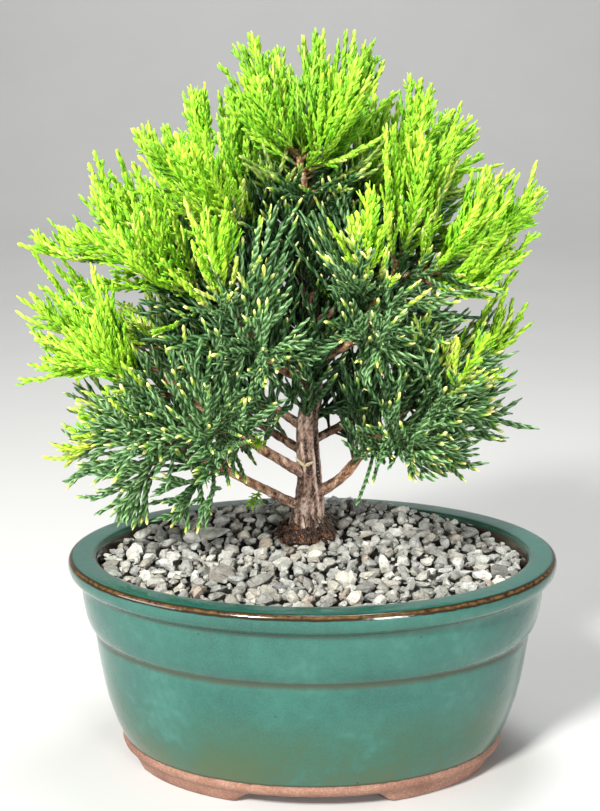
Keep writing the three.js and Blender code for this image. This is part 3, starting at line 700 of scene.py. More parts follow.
@dataclass(frozen=True)
class MeshFinish(Finish):
    """Dark green moulded plastic of the drainage screens."""

    def colour(self, tree: Tree) -> None:
        """An even dark green with dust and a fine moulded grain.

        Args:
            tree: The material's nodes.
        """
        where = tree.where()
        base = tree.ramp(mottle(tree, where, 180.0, 6.0, 0.4), [
            (0.35, (0.010, 0.026, 0.018)), (0.60, (0.022, 0.046, 0.034)), (0.75, (0.075, 0.070, 0.055)),
        ])
        normal = tree.bump(tree.noise(where, 2400.0, 2.0), 0.3, 0.0003)
        tree.feed(Base_Color=base, Normal=normal)


@dataclass(frozen=True)
class FloorFinish(Finish):
    """The pale matt floor."""

    def colour(self, tree: Tree) -> None:
        """Off-white with the faintest cloud.

        Args:
            tree: The material's nodes.
        """
        cloud = tree.noise(tree.where(), 3.0)
        pale = tree.ramp(cloud, [(0.3, (0.60, 0.60, 0.59)), (0.7, (0.63, 0.63, 0.62))])
        tree.feed(Base_Color=pale)


# The pot


@dataclass
class OvalPot:
    """The pot: an oval shell with a flat rim, one groove, a bare foot ring and four feet."""

    width: float = 203.0
    depth: float = 160.0
    floor_top: float = 12.0
    under: float = 5.6
    foot_inner: float = 68.8
    foot_half: Pair = (76.8, 55.3)
    arch_rise: float = 5.2
    front_arch: float = 28.3
    end_arch: float = 18.3
    arch_slope: float = 9.4
    arch_steps: int = 7
    columns: int = 176
    least_turn: float = 0.008
    shrink: tuple[float, ...] = (0.97, 0.8, 0.55, 0.25, 0.02)
    unseen: Pair = (-20.0, 10.0)
    drain_radius: float = 7.0
    drain_offset: float = 45.0
    drain_reach: Pair = (2.0, 16.0)
    drain_sides: int = 28
    brown_lines: Table = ((79.6, 1.8), (57.4, 2.3), (10.9, 1.0))
    inner_line: Pair = (88.5, 0.9)
    rim_line: Pair = (88.2, 1.65)
    # Heights of the rim's flat top, which the glaze evens and darkens as painted shade.
    painted_shade_rim_top: Pair = (88.9, 88.4)
    glaze_edge: float = 10.6
    dark_below: float = 88.0
    foot: Table = (
        (69.4, 0.5), (70.2, 0.0), (75.6, 0.0), (76.6, 0.5), (77.2, 1.8), (78.0, 3.8), (78.6, 5.3),
    )
    wall: Table = (
        (79.4, 6.3), (80.5, 7.2), (80.95, 8.5), (80.85, 9.7), (80.35, 10.5), (80.5, 11.0), (81.0, 12.0),
        (83.6, 18.0), (85.5, 24.0), (86.9, 29.0), (88.3, 35.5), (89.4, 42.0), (90.4, 49.0), (91.0, 54.0),
        (91.3, 56.4), (91.1, 57.3), (91.4, 58.2), (92.5, 59.2), (93.5, 60.8), (94.6, 64.0), (95.4, 68.0),
        (96.0, 72.5), (96.2, 76.0), (96.1, 78.2), (96.5, 79.3), (98.0, 80.4), (99.8, 81.5), (100.9, 82.9),
        (101.4, 84.6), (101.5, 86.2), (101.3, 87.5), (100.8, 88.4), (99.9, 88.9), (98.6, 89.0),
        (95.5, 88.95), (92.2, 88.9), (91.0, 88.75), (90.2, 88.3), (89.7, 87.5), (89.3, 86.0), (88.6, 81.0),
        (87.4, 72.0), (85.6, 57.4), (83.6, 43.0), (81.1, 29.0), (77.5, 18.0), (73.5, 12.4),
    )

    def half_depth(self, half_width: float | Array) -> float | Array:
        """The half depth of the oval of a half width: the rim's inset holds all round."""
        return half_width - (self.width - self.depth) / 2

    def profile(self) -> tuple[Array, Array]:
        """The pot's whole profile.

        Returns:
            Its points, and the distance along it at each.
        """
        points = np.array(self.foot + self.wall)
        steps = np.linalg.norm(np.diff(points, axis=0), axis=1)
        return points, np.concatenate([[0], np.cumsum(steps)])

    def angles(self) -> Array:
        """Angles round the oval, closer together at both sides of each arch.

        Returns:
            The angles in order, in radians.
        """
        even = np.linspace(0, 2 * np.pi, self.columns, endpoint=False)
        steps = np.linspace(-1.0, 1.0, self.arch_steps) * self.arch_slope / 2
        front = np.arccos((self.front_arch + steps) / self.foot_half[0])
        ends = np.arcsin((self.end_arch + steps) / self.foot_half[1])
        extra = [turned for side in (front, ends) for turned in (side, np.pi - side, -side, side + np.pi)]
        whole = np.unique(np.round(np.mod(np.concatenate([even, *extra]), 2 * np.pi), 4))
        return whole[np.concatenate([np.diff(whole) > self.least_turn, [True]])]

    def arch(self, angles: Array) -> Array:
        """How high the foot's underside stands at each angle.

        It is the arch's rise within an arch, 0 on a foot, and eases between the two
        across the slope at an arch's side.

        Args:
            angles: Angles round the oval.

        Returns:
            Heights in millimetres.
        """
        x = self.foot_half[0] * np.abs(np.cos(angles))
        y = self.foot_half[1] * np.abs(np.sin(angles))
        front = ease((self.front_arch + self.arch_slope / 2 - x) / self.arch_slope)
        end = ease((self.end_arch + self.arch_slope / 2 - y) / self.arch_slope)
        return self.arch_rise * np.maximum(front, end)

    def surface(self) -> Surface:
        """The closed shell as one grid of rings round the oval.

        A point lies at half width times cosine, half depth times sine and its ring's
        height. The foot's rings are lifted by the arches in proportion to how low they
        are. The outer rings shrink to a middle point under and over the floor.

        Returns:
            The surface, with the distance along the profile as its mark.
        """
        angles = self.angles()
        count = len(angles)
        profile, runs = self.profile()
        halves, rows = profile[:, :1], profile[:, 1:]
        heights = rows + self.arch(angles) * (1 - np.clip(rows, 0, self.under) / self.under)
        shrink = np.array(self.shrink)[:, None]
        inner, floor = np.array([[self.foot_inner]]), halves[-1:]
        widths = np.vstack([inner * shrink[::-1], inner, halves, floor * shrink])
        depths = np.vstack([
            self.half_depth(inner) * shrink[::-1], self.half_depth(inner), self.half_depth(halves),
            self.half_depth(floor) * shrink,
        ])
        below, above = len(shrink) + 1, len(shrink)
        levels = np.vstack([
            np.full((below, count), self.under), heights, np.full((above, count), self.floor_top),
        ])
        points = np.stack([widths * np.cos(angles), depths * np.sin(angles), levels], axis=-1)
        flat = points.reshape(-1, 3)
        poles = np.array([[0.0, 0.0, self.under], [0.0, 0.0, self.floor_top]])
        fans = [fan(0, count, len(flat), True), fan(len(flat) - count, count, len(flat) + 1)]
        low, high = self.unseen[0], runs[-1] + self.unseen[1]
        run = np.concatenate([np.full(below, low), runs, np.full(above, high)])
        return Surface(
            np.vstack([flat, poles]), grid_quads(len(points), count), np.vstack(fans),
            {"run": np.concatenate([np.repeat(run, count), [low, high]])},
        )

    def run_at(self, height: float, outside: bool = True) -> float:
        """The distance along the profile at a height.

        Args:
            height: The height in millimetres.
            outside: Whether the way up or the way down again is meant.

        Returns:
            The distance in millimetres.
        """
        profile, runs = self.profile()
        crest = int(np.argmax(profile[:, 1]))
        if outside:
            return float(np.interp(height, profile[2:crest + 1, 1], runs[2:crest + 1]))
        return float(np.interp(height, profile[crest:, 1][::-1], runs[crest:][::-1]))

    def finish(self) -> GlazeFinish:
        """The glaze, with its brown lines where this pot has edges.

        Returns:
            The finish.
        """
        lines = [(self.run_at(height), half) for height, half in self.brown_lines]
        lines.append((self.run_at(self.inner_line[0], outside=False), self.inner_line[1]))
        outer, inner = self.run_at(self.painted_shade_rim_top[0]), self.run_at(self.painted_shade_rim_top[1], outside=False)
        return GlazeFinish(
            "green_glaze", 0.12, lines=tuple(lines), rim=(self.run_at(self.rim_line[0]), self.rim_line[1]),
            flat=((outer + inner) / 2, (inner - outer) / 2), clay_edge=self.run_at(self.glaze_edge),
            dark_from=self.run_at(self.dark_below, outside=False),
        )

    def plug(self, middle: float) -> Surface:
        """A closed round bar through the floor, to cut one drainage hole with.

        Args:
            middle: How far to the right of the pot's middle it stands.

        Returns:
            The bar's surface.
        """
        sides = self.drain_sides
        angles = np.linspace(0, 2 * np.pi, sides, endpoint=False)
        x = middle + self.drain_radius * np.cos(angles)
        y = self.drain_radius * np.sin(angles)
        rings = [np.stack([x, y, np.full(sides, z)], axis=1) for z in self.drain_reach]
        poles = np.array([[middle, 0, z] for z in self.drain_reach])
        fans = [fan(0, sides, 2 * sides, True), fan(sides, sides, 2 * sides + 1)]
        return Surface(np.vstack([*rings, poles]), grid_quads(2, sides), np.vstack(fans))

    def build(self) -> Piece:
        """Builds the shell and cuts its two drainage holes.

        Returns:
            The pot, in place of its solid.
        """
        piece = self.surface().build("oval_pot", self.finish().material())
        for side in (-1, 1):
            cutter = self.plug(side * self.drain_offset).build("drain_plug", piece.data.materials[0])
            cut = piece.modifiers.new("drain", "BOOLEAN")
            cut.operation = "DIFFERENCE"
            cut.solver = "EXACT"
            cut.object = cutter
            bpy.context.view_layer.objects.active = piece
            bpy.ops.object.modifier_apply(modifier=cut.name)
            bpy.data.objects.remove(cutter)
        return settle(piece, Slot.POT, "pot")


# What fills the pot


@dataclass
class Stones:
    """Broken stones: balls cut by random planes, stretched and turned."""

    seed: int
    segments: int = 8
    bands: int = 5
    planes: int = 8
    tilt: float = 0.50
    jitter: float = 0.16
    cuts: Pair = (0.36, 0.92)
    least_cosine: float = 0.16
    farthest: float = 1.12
    breadths: Pair = (0.46, 0.88)
    tones: Pair = (0.62, 0.19)

    def shapes(self, sizes: Array, flatness: Pair) -> Array:
        """The points of each stone about its middle.

        A point lies on a ray of a jittered grid over the ball, as far out as the nearest
        of the random cutting planes lets it: offset over the cosine to the plane. Then
        the stone is stretched along three axes and turned.

        Args:
            sizes: Half the greatest length of each stone.
            flatness: Least and greatest height of a stone as a share of its length.

        Returns:
            Points by stone, point and axis.
        """
        rng = np.random.default_rng(self.seed)
        count = len(sizes)
        rise = np.linspace(0, np.pi, self.bands + 1)[1:-1]
        turn = np.arange(self.segments) * 2 * np.pi / self.segments
        rays = np.stack([
            np.outer(np.sin(rise), np.cos(turn)).ravel(), np.outer(np.sin(rise), np.sin(turn)).ravel(),
            np.repeat(np.cos(rise), self.segments),
        ], axis=1)
        rays = np.vstack([rays, [[0, 0, 1], [0, 0, -1]]])
        rays = unit(rays[None] + rng.normal(scale=self.jitter, size=(count, len(rays), 3)))
        normals = unit(rng.normal(size=(count, self.planes, 3)))
        offsets = rng.uniform(*self.cuts, (count, 1, self.planes))
        cosines = np.einsum("cri,cpi->crp", rays, normals)
        reach = np.min(offsets / np.maximum(cosines, self.least_cosine), axis=2)
        points = rays * np.minimum(reach, self.farthest)[..., None]
        stretch = np.stack([
            np.ones(count), rng.uniform(*self.breadths, count), rng.uniform(*flatness, count),
        ], axis=1)
        points = points * (stretch * sizes[:, None])[:, None, :]
        spin = rng.uniform(0, 2 * np.pi, count)
        tilt = rng.normal(scale=self.tilt, size=count)
        points = self.turned(points, tilt, 0)
        return self.turned(points, spin, 2)

    def turned(self, points: Array, angles: Array, axis: int) -> Array:
        """Turns each stone by its own angle, with the sine and cosine of that angle.

        Args:
            points: Points by stone, number and axis.
            angles: One angle to a stone.
            axis: Number of the axis that they turn about.

        Returns:
            The turned points.
        """
        one, two = [k for k in range(3) if k != axis]
        cosine, sine = np.cos(angles)[:, None], np.sin(angles)[:, None]
        made = points.copy()
        made[..., one] = cosine * points[..., one] - sine * points[..., two]
        made[..., two] = sine * points[..., one] + cosine * points[..., two]
        return made

    def surface(self, middles: Array, sizes: Array, flatness: Pair) -> Surface:
        """All stones as one surface.

        Args:
            middles: The middle of each stone.
            sizes: Half its greatest length.
            flatness: Least and greatest height as a share of the length.

        Returns:
            The surface, with a tone and a warmth for each stone.
        """
        rng = np.random.default_rng(self.seed + 1)
        shapes = self.shapes(sizes, flatness)
        count, each = shapes.shape[:2]
        rows = self.bands - 1
        quads = grid_quads(rows, self.segments)[:, ::-1]
        last = (rows - 1) * self.segments
        fans = np.vstack([fan(0, self.segments, each - 2), fan(last, self.segments, each - 1, True)])
        starts = (np.arange(count) * each)[:, None, None]
        tone = np.clip(rng.normal(*self.tones, count), 0.08, 1)
        warmth = rng.uniform(0, 1, count) ** 1.3
        return Surface(
            (shapes + middles[:, None, :]).reshape(-1, 3),
            (quads[None] + starts).reshape(-1, 4), (fans[None] + starts).reshape(-1, 3),
            {"tone": np.repeat(tone, each), "warmth": np.repeat(warmth, each)},
        )


@dataclass
class GravelBed:
    """The gravel: two layers of broken stones on a near-black bed, slightly mounded; the bed's black is
    painted shade in the gaps.
    """

    half_width: float = 88.4
    inset: float = 21.5
    bottom: float = 78.4
    level: float = 85.6
    mound: float = 1.3
    climb: float = 6.5
    end_drop: float = 1.4
    clear: float = 10.2
    slab: Pair = (-43.0, 24.0)
    slab_half: float = 10.5
    slab_lift: float = 0.9
    slab_flatness: Pair = (0.22, 0.24)
    slab_tone: float = 0.72
    tries: int = 60
    upper: Table = ((4.8, 6.8, 16), (2.8, 4.8, 480), (1.4, 2.7, 850))
    lower: Table = ((1.6, 3.0, 480),)
    bed_rings: tuple[float, ...] = (1.0, 0.98, 0.8, 0.55, 0.3, 0.1)
    bed_inset: float = 0.9
    bed_sink: float = 4.0
    bed_sides: int = 96
    foot: Pair = (-3.0, 21.0)
    seed: int = 7

    def height(self, x: Array, y: Array) -> Array:
        """The height of the bed: a shallow dome that climbs towards the back, lower at the ends.

        Args:
            x: How far to the right of the pot's middle.
            y: How far behind it.

        Returns:
            Heights above the plane of the feet.
        """
        across = (x / self.half_width) ** 2
        dome = self.mound * (1 - across - (y / (self.half_width - self.inset)) ** 2)
        rise = self.climb * ease((y - 5) / 70) * (1 - across)
        return self.level + dome + rise - self.end_drop * ease((np.abs(x) - 60) / 30)

    def sizes(self, rng: np.random.Generator, rows: Table) -> Array:
        """Half lengths, largest first, from rows of the least, the greatest and how many."""
        return np.concatenate([np.sort(rng.uniform(low, high, count))[::-1] for low, high, count in rows])

    def scatter(self, sizes: Array, closeness: float, seed: int) -> tuple[Array, Array]:
        """Places for stones in the oval, largest first, none nearer to another than allowed.

        Args:
            sizes: Half lengths, largest first.
            closeness: Least distance as a share of the two half lengths together.
            seed: Picks the places.

        Returns:
            The places found, and the half lengths that go with them.
        """
        rng = np.random.default_rng(seed)
        places = np.zeros((len(sizes), 2))
        kept = np.zeros(len(sizes))
        halves = np.array([self.half_width, self.half_width - self.inset])
        found = 0
        for size in sizes:
            tries = rng.uniform(-1, 1, (self.tries, 2)) * halves
            room = np.sqrt(np.sum((tries / (halves - size * 0.75)) ** 2, axis=1)) < 1
            room &= np.hypot(*(tries - self.foot).T) > self.clear + size * 0.8
            room &= np.hypot(*(tries - self.slab).T) > self.slab_half * 0.6 + size * 0.5
            gaps = np.linalg.norm(tries[:, None] - places[None, :found], axis=2)
            room &= np.all(gaps > closeness * (size + kept[None, :found]), axis=1)
            free = np.flatnonzero(room)
            if len(free):
                places[found] = tries[free[0]]
                kept[found] = size
                found += 1
        return places[:found], kept[:found]

    def layer(self, sizes: Array, closeness: float, sink: float,
              flatness: Pair, seed: int) -> Surface:
        """One layer of stones.

        Args:
            sizes: Half lengths to place, largest first.
            closeness: Least distance as a share of the two half lengths together.
            sink: How far the stones' middles lie below the bed's height.
            flatness: Least and greatest height of a stone as a share of its length.
            seed: Picks places and shapes.

        Returns:
            The layer's surface.
        """
        places, kept = self.scatter(sizes, closeness, seed)
        rng = np.random.default_rng(seed + 9)
        heights = self.height(places[:, 0], places[:, 1]) - sink + rng.uniform(-0.5, 0.6, len(places))
        return Stones(seed).surface(np.column_stack([places, heights]), kept, flatness)

    def bed(self) -> Surface:
        """The bed under the stones, near black as painted shade in their gaps: an oval disc with a rim that
        reaches down.

        Returns:
            A closed surface.
        """
        count = self.bed_sides
        angles = np.linspace(0, 2 * np.pi, count, endpoint=False)
        shares = np.array(self.bed_rings)[:, None]
        x = shares * (self.half_width - self.bed_inset) * np.cos(angles)
        y = shares * (self.half_width - self.inset - self.bed_inset) * np.sin(angles)
        top = np.stack([x, y, self.height(x, y) - self.bed_sink], axis=-1)
        low = top[:1].copy()
        low[..., 2] = self.bottom
        rows = np.concatenate([low, top])
        points = np.vstack([rows.reshape(-1, 3), [[0, 0, self.level - 2.7], [0, 0, self.bottom]]])
        fans = np.vstack([
            fan((len(rows) - 1) * count, count, len(points) - 2), fan(0, count, len(points) - 1, True),
        ])
        # The bed takes tone 0, near black: painted shade that shows in the gaps between the stones.
        marks = {"tone": np.full(len(points), 0.0), "warmth": np.full(len(points), 0.4)}
        return Surface(points, grid_quads(len(rows), count), fans, marks)

    def build(self) -> Piece:
        """Builds bed and stones as one piece.

        Returns:
            The gravel, in place of its solid.
        """
        rng = np.random.default_rng(self.seed)
        upper = self.layer(self.sizes(rng, self.upper), 0.76, 0.2, (0.42, 0.80), self.seed)
        lower = self.layer(self.sizes(rng, self.lower), 0.85, 3.2, (0.6, 0.9), self.seed + 40)
        x, y = self.slab
        middle = np.array([[x, y, float(self.height(np.array(x), np.array(y))) + self.slab_lift]])
        flat = Stones(self.seed + 80, tilt=0.06)
        slab = flat.surface(middle, np.array([self.slab_half]), self.slab_flatness)
        slab.marks["tone"][:] = self.slab_tone
        heap = Surface.joined([upper, lower, slab, self.bed()])
        piece = heap.build("gravel_stones", StoneFinish("crushed_stone", 0.85).material(), smooth=False)
        return settle(piece, Slot.GRAVEL, "gravel")


@dataclass
class SoilCrust:
    """Grit and soil that stand up round the foot of the trunk."""

    foot: Pair = (-3.0, 21.0)
    inner: float = 6.5
    outer: float = 12.9
    crest: float = 94.2
    fall: float = 6.6
    count: int = 620
    seed: int = 21

    def build(self) -> Piece:
        """Builds the grit as one piece, over the crust of the soil's solid.

        Returns:
            The crust.
        """
        rng = np.random.default_rng(self.seed)
        angles = rng.uniform(0, 2 * np.pi, self.count)
        shares = np.sqrt(rng.uniform(0, 1, self.count))
        radii = self.inner + (self.outer - self.inner) * shares
        heights = self.crest - self.fall * shares**1.3 + rng.uniform(-0.9, 0.9, self.count)
        heights = heights + 0.9 * np.sin(3 * angles + 1.0) * shares
        places = np.column_stack([
            self.foot[0] + radii * np.cos(angles), self.foot[1] + radii * np.sin(angles), heights,
        ])
        grit = Stones(self.seed, segments=6, bands=4, planes=7)
        surface = grit.surface(places, rng.uniform(0.5, 1.0, self.count) ** 2 * 2.1, (0.6, 0.95))
        piece = surface.build("soil_grit", CrustFinish("rust_grit", 0.7).material(), smooth=False)
        return settle(piece, Slot.SOIL)


# The wood


@dataclass(frozen=True)
class Limb:
    """A trunk or branch: the points it passes through, and its radii from foot to end.

    Bare is the share at its foot without inner fronds, fronds is how many it bears, and
    lean is how far they turn to the back, or below 0 to the front.
    """

    points: Table
    radii: tuple[float, ...]
    samples: int = 4
    bare: float = 0.2
    lean: float = -0.45
    fronds: int = 20

    def path(self, count: int) -> tuple[Array, Array]:
        """The limb's middle line in even steps.

        Args:
            count: Number of steps.

        Returns:
            The places at their ends, and the radius at each.
        """
        shares = np.linspace(0, 1, count + 1)
        widths = np.interp(shares, np.linspace(0, 1, len(self.radii)), self.radii)
        return through(np.array(self.points, float), shares), widths

    def seat(self, share: float) -> tuple[Array, Array, float]:
        """The place where a leader sits.

        Args:
            share: Share of the limb's length.

        Returns:
            The place on the limb's middle line, the heading there and the radius.
        """
        path, widths = self.path(self.samples)
        way = share * self.samples
        cell = min(int(way), self.samples - 1)
        step = path[cell + 1] - path[cell]
        radius = float(np.interp(way, np.arange(self.samples + 1), widths))
        return path[cell] + step * (way - cell), unit(step), radius


LIMBS: dict[str, Limb] = {
    "trunk": Limb(
        ((-3, 21, 56), (-3, 21, 76), (-3, 21, 86), (-1.5, 21, 99), (-1, 21, 112), (-2, 21, 137),
         (0, 21, 150), (0, 21, 167), (-1, 21, 194), (-2, 21, 206), (0, 21, 229), (1, 21, 247), (1, 21, 258)),
        (4, 8.2, 8.6, 7.2, 5.4, 4.6, 4.3, 3.8, 3.1, 2.9, 2.3, 1.8, 1.5), 12, 0.385, fronds=80,
    ),
    "lowLeft": Limb(
        ((-4, 20, 101), (-24, 16, 112), (-39, 12, 121), (-56, 8, 128), (-70, 6, 134)), (2.2, 1.4),
        bare=0.36, lean=0.9,
    ),
    "midLeft": Limb(
        ((-2, 20, 115), (-21, 15, 128), (-34, 10, 138), (-48, 6, 148), (-62, 2, 164)), (2.4, 1.4),
        bare=0.22, lean=0.9,
    ),
    "right": Limb(
        ((1, 19, 107), (12, 16, 115), (23, 13, 129), (33, 10, 139), (46, 6, 160)), (2.6, 1.4), bare=0.28,
    ),
    "rightHigh": Limb(((0, 22, 160), (8, 24, 168), (21, 27, 181), (32, 28, 195), (48, 26, 212)), (2.1, 1.3)),
    "leftHigh": Limb(
        ((0, 21, 170), (-18, 21, 184), (-38, 20, 194), (-56, 18, 203), (-72, 17, 208)), (2.1, 1.3), fronds=36,
    ),
    "leftMid": Limb(
        ((-1, 22, 134), (-24, 30, 148), (-46, 30, 160), (-64, 28, 170)), (2.1, 1.3), bare=0.12, fronds=30,
    ),
    "backLeftLow": Limb(
        ((-2, 22, 124), (-20, 38, 132), (-36, 52, 140), (-46, 60, 150)), (2, 1.3), bare=0.12,
    ),
    "back": Limb(((-1, 22, 142), (0, 42, 156), (2, 60, 172), (2, 66, 184)), (2, 1.3)),
    "backRightLow": Limb(
        ((0, 22, 130), (18, 40, 136), (32, 52, 146), (42, 56, 158)), (2, 1.3), bare=0.12,
    ),
    "frontLeft": Limb(((-1, 20, 156), (-12, 4, 164), (-22, -10, 174), (-30, -18, 188)), (2, 1.3)),
    "frontRight": Limb(((0, 20, 166), (10, 4, 172), (19, -10, 182), (24, -16, 196)), (2, 1.3)),
    "upLeft": Limb(((-1, 21, 200), (-14, 20, 216), (-28, 20, 230), (-40, 18, 243)), (1.9, 1.3)),
    "upRight": Limb(((-1, 21, 210), (14, 20, 222), (26, 18, 236), (35, 16, 248)), (1.9, 1.3)),
    "upBack": Limb(((-1, 22, 196), (-4, 38, 212), (-6, 50, 228), (-6, 56, 242)), (1.9, 1.3)),
    "backUpLeft": Limb(((0, 22, 180), (-20, 38, 190), (-38, 48, 202), (-50, 54, 214)), (1.9, 1.3)),
    "backUpRight": Limb(((-1, 22, 188), (18, 36, 198), (34, 46, 210), (44, 50, 222)), (1.9, 1.3)),
    "frontTop": Limb(((0, 20, 224), (-3, 8, 238), (-6, 0, 252)), (1.7, 1.2)),
    "frontRightHigh": Limb(((0, 20, 180), (18, 8, 194), (34, -2, 202), (46, -8, 208)), (1.9, 1.3)),
}


@dataclass
class Woodwork:
    """Trunk and branches in flaking bark."""

    trunk_sides: int = 64
    branch_sides: int = 14
    trunk_step: float = 1.1
    branch_step: float = 1.6
    strips: int = 11
    furrow: Pair = (-0.72, 0.20)
    furrow_reach: Pair = (110.0, 134.0)
    furrow_depth: float = 2.6
    trunk_grain: float = 0.22
    branch_grain: float = 0.6
    strip_height: float = 0.35
    flake_height: float = 1.2
    tip_taper: Pair = (0.8, 0.35)
    youth_span: Pair = (150.0, 90.0)

    def crevice(self, turn: Array, heights: Array) -> Array:
        """How deep the trunk's one crevice is: a bell across its width, eased at both ends.

        Args:
            turn: Angles round the trunk.
            heights: Heights along it.

        Returns:
            Shares of the full depth.
        """
        off = np.angle(np.exp(1j * (turn - self.furrow[0]))) / self.furrow[1]
        low, high = self.furrow_reach
        return np.exp(-off**2) * ease((heights - low) / 5) * ease((high - heights) / 5)

    def limb(self, limb: Limb, sides: int, step: float, old: bool, seed: int) -> Surface:
        """One limb as a closed tube with bark in relief.

        A point lies on its ring at the limb's radius, plus strips that wander round the
        limb, plus flakes of soft noise, all scaled with the radius. The last ring
        closes on a blunt tip.

        Args:
            limb: The limb.
            sides: Points to a ring.
            step: Distance between rings.
            old: Whether it is the trunk, whose bark is deeper.
            seed: Picks the relief.

        Returns:
            The tube, marked with relief and youth.
        """
        rough, _ = limb.path(60)
        length = float(np.linalg.norm(np.diff(rough, axis=0), axis=1).sum())
        count = int(length / step)
        path, radii = limb.path(count)
        along = unit(np.gradient(path, axis=0))
        whole = unit(path[-1] - path[0])
        reference = UP if abs(whole[2]) < 0.8 else np.array([1.0, 0.0, 0.0])
        across = square_to(np.broadcast_to(reference, along.shape), along)
        beside = np.cross(along, across)
        turn = np.arange(sides) * 2 * np.pi / sides
        ring = spokes(across, beside, turn)
        flat = (path[:, None] + ring * radii[:, None, None]).reshape(-1, 3)
        squeezed = flat * (1.0, 1.0, self.trunk_grain if old else self.branch_grain)
        wander = ripple(squeezed, 9.0, seed) * 2.2
        strip = np.abs(np.sin(self.strips / 2 * np.tile(turn, count + 1) + wander))
        flake = ripple(squeezed, 3.2, seed + 1) * 0.5 + ripple(flat, 1.6, seed + 2) * 0.35
        relief = self.strip_height * strip + self.flake_height * flake
        if old:
            relief = relief - self.furrow_depth * self.crevice(np.tile(turn, count + 1), flat[:, 2])
        depth = (0.13 if old else 0.25) * np.sqrt(np.repeat(radii, sides)) * (1.6 if old else 1.0)
        tips = np.ones(count + 1)
        tips[-2:] = self.tip_taper
        raised = depth * (relief - self.strip_height) * np.repeat(tips, sides)
        reach = np.repeat(radii * tips, sides) + raised
        points = np.repeat(path, sides, axis=0) + ring.reshape(-1, 3) * reach[:, None]
        points = np.vstack([points, path[0], path[-1] + along[-1] * radii[-1] * 0.3])
        fans = np.vstack([
            fan(0, sides, len(points) - 2, True), fan(count * sides, sides, len(points) - 1),
        ])
        if old:
            heights = np.concatenate([np.repeat(path[:, 2], sides), path[[0, -1], 2]])
            youth = ease((heights - self.youth_span[0]) / self.youth_span[1]) * 0.8
        else:
            youth = np.full(len(points), 0.85)
            youth[:-2] = 0.25 + 0.75 * ease(np.repeat(np.linspace(0, 1, count + 1), sides) / 0.35)
        # The relief mark also darkens the bark's colour where it lies low: painted shade in the cracks and
        # the crevice.
        marks = {"relief": np.append(relief, [0.0, 0.0]), "youth": youth}
        return Surface(points, grid_quads(count + 1, sides), fans, marks)

    def build(self) -> Piece:
        """Builds all limbs as one piece.

        Returns:
            The wood, in place of its solid.
        """
        parts = []
        for seed, (name, limb) in enumerate(LIMBS.items()):
            old = name == "trunk"
            sides = self.trunk_sides if old else self.branch_sides
            step = self.trunk_step if old else self.branch_step
            parts.append(self.limb(limb, sides, step, old, 100 + 5 * seed))
        bark = BarkFinish("flaking_bark", 0.8).material()
        piece = Surface.joined(parts).build("trunk_and_branches", bark)
        return settle(piece, Slot.BARK, "trunk")


# The foliage


@dataclass
class Shoots:
    """Many shoots as whole arrays, one shoot to a row.

    Shoot and time t from 0 to 1 give the place foot + run t + bow t². The freshness of
    the leaves eases from one value at the foot to another at the tip, about a share
    named turn. Flank is the sideways direction of the flat frond that the shoot bears,
    and fringe is how much further its scales stand out on its flanks than elsewhere.
    """

    foot: Array
    run: Array
    bow: Array
    flank: Array
    girth: Array
    young: Array
    fresh: Array
    turn: Array
    tint: Array
    wood: Array
    fringe: Array

    FADE = 6.5

    def rows(self, index: Array) -> "Shoots":
        """Some of the shoots, by number or mask."""
        return Shoots(*(getattr(self, name)[index] for name in self.__dataclass_fields__))

    @staticmethod
    def joined(parts: list["Shoots"]) -> "Shoots":
        """Several sets of shoots as one."""
        names = Shoots.__dataclass_fields__
        return Shoots(*(np.concatenate([getattr(part, name) for part in parts]) for name in names))

    def at(self, t: Array) -> Array:
        """The place on each shoot at its own time."""
        return self.foot + self.run * t[:, None] + self.bow * (t * t)[:, None]

    def heading(self, t: Array) -> Array:
        """The unit direction of each shoot at its own time."""
        return unit(self.run + 2 * self.bow * t[:, None])

    def length(self) -> Array:
        """The length of each shoot, by the chord and the bow's rise."""
        return np.linalg.norm(self.run + self.bow, axis=1)

    def freshness(self, t: Array) -> Array:
        """How fresh the leaves are on each shoot at its own time."""
        change = ease((t - self.turn) * self.length() / self.FADE + 0.5)
        return self.young + (self.fresh - self.young) * change


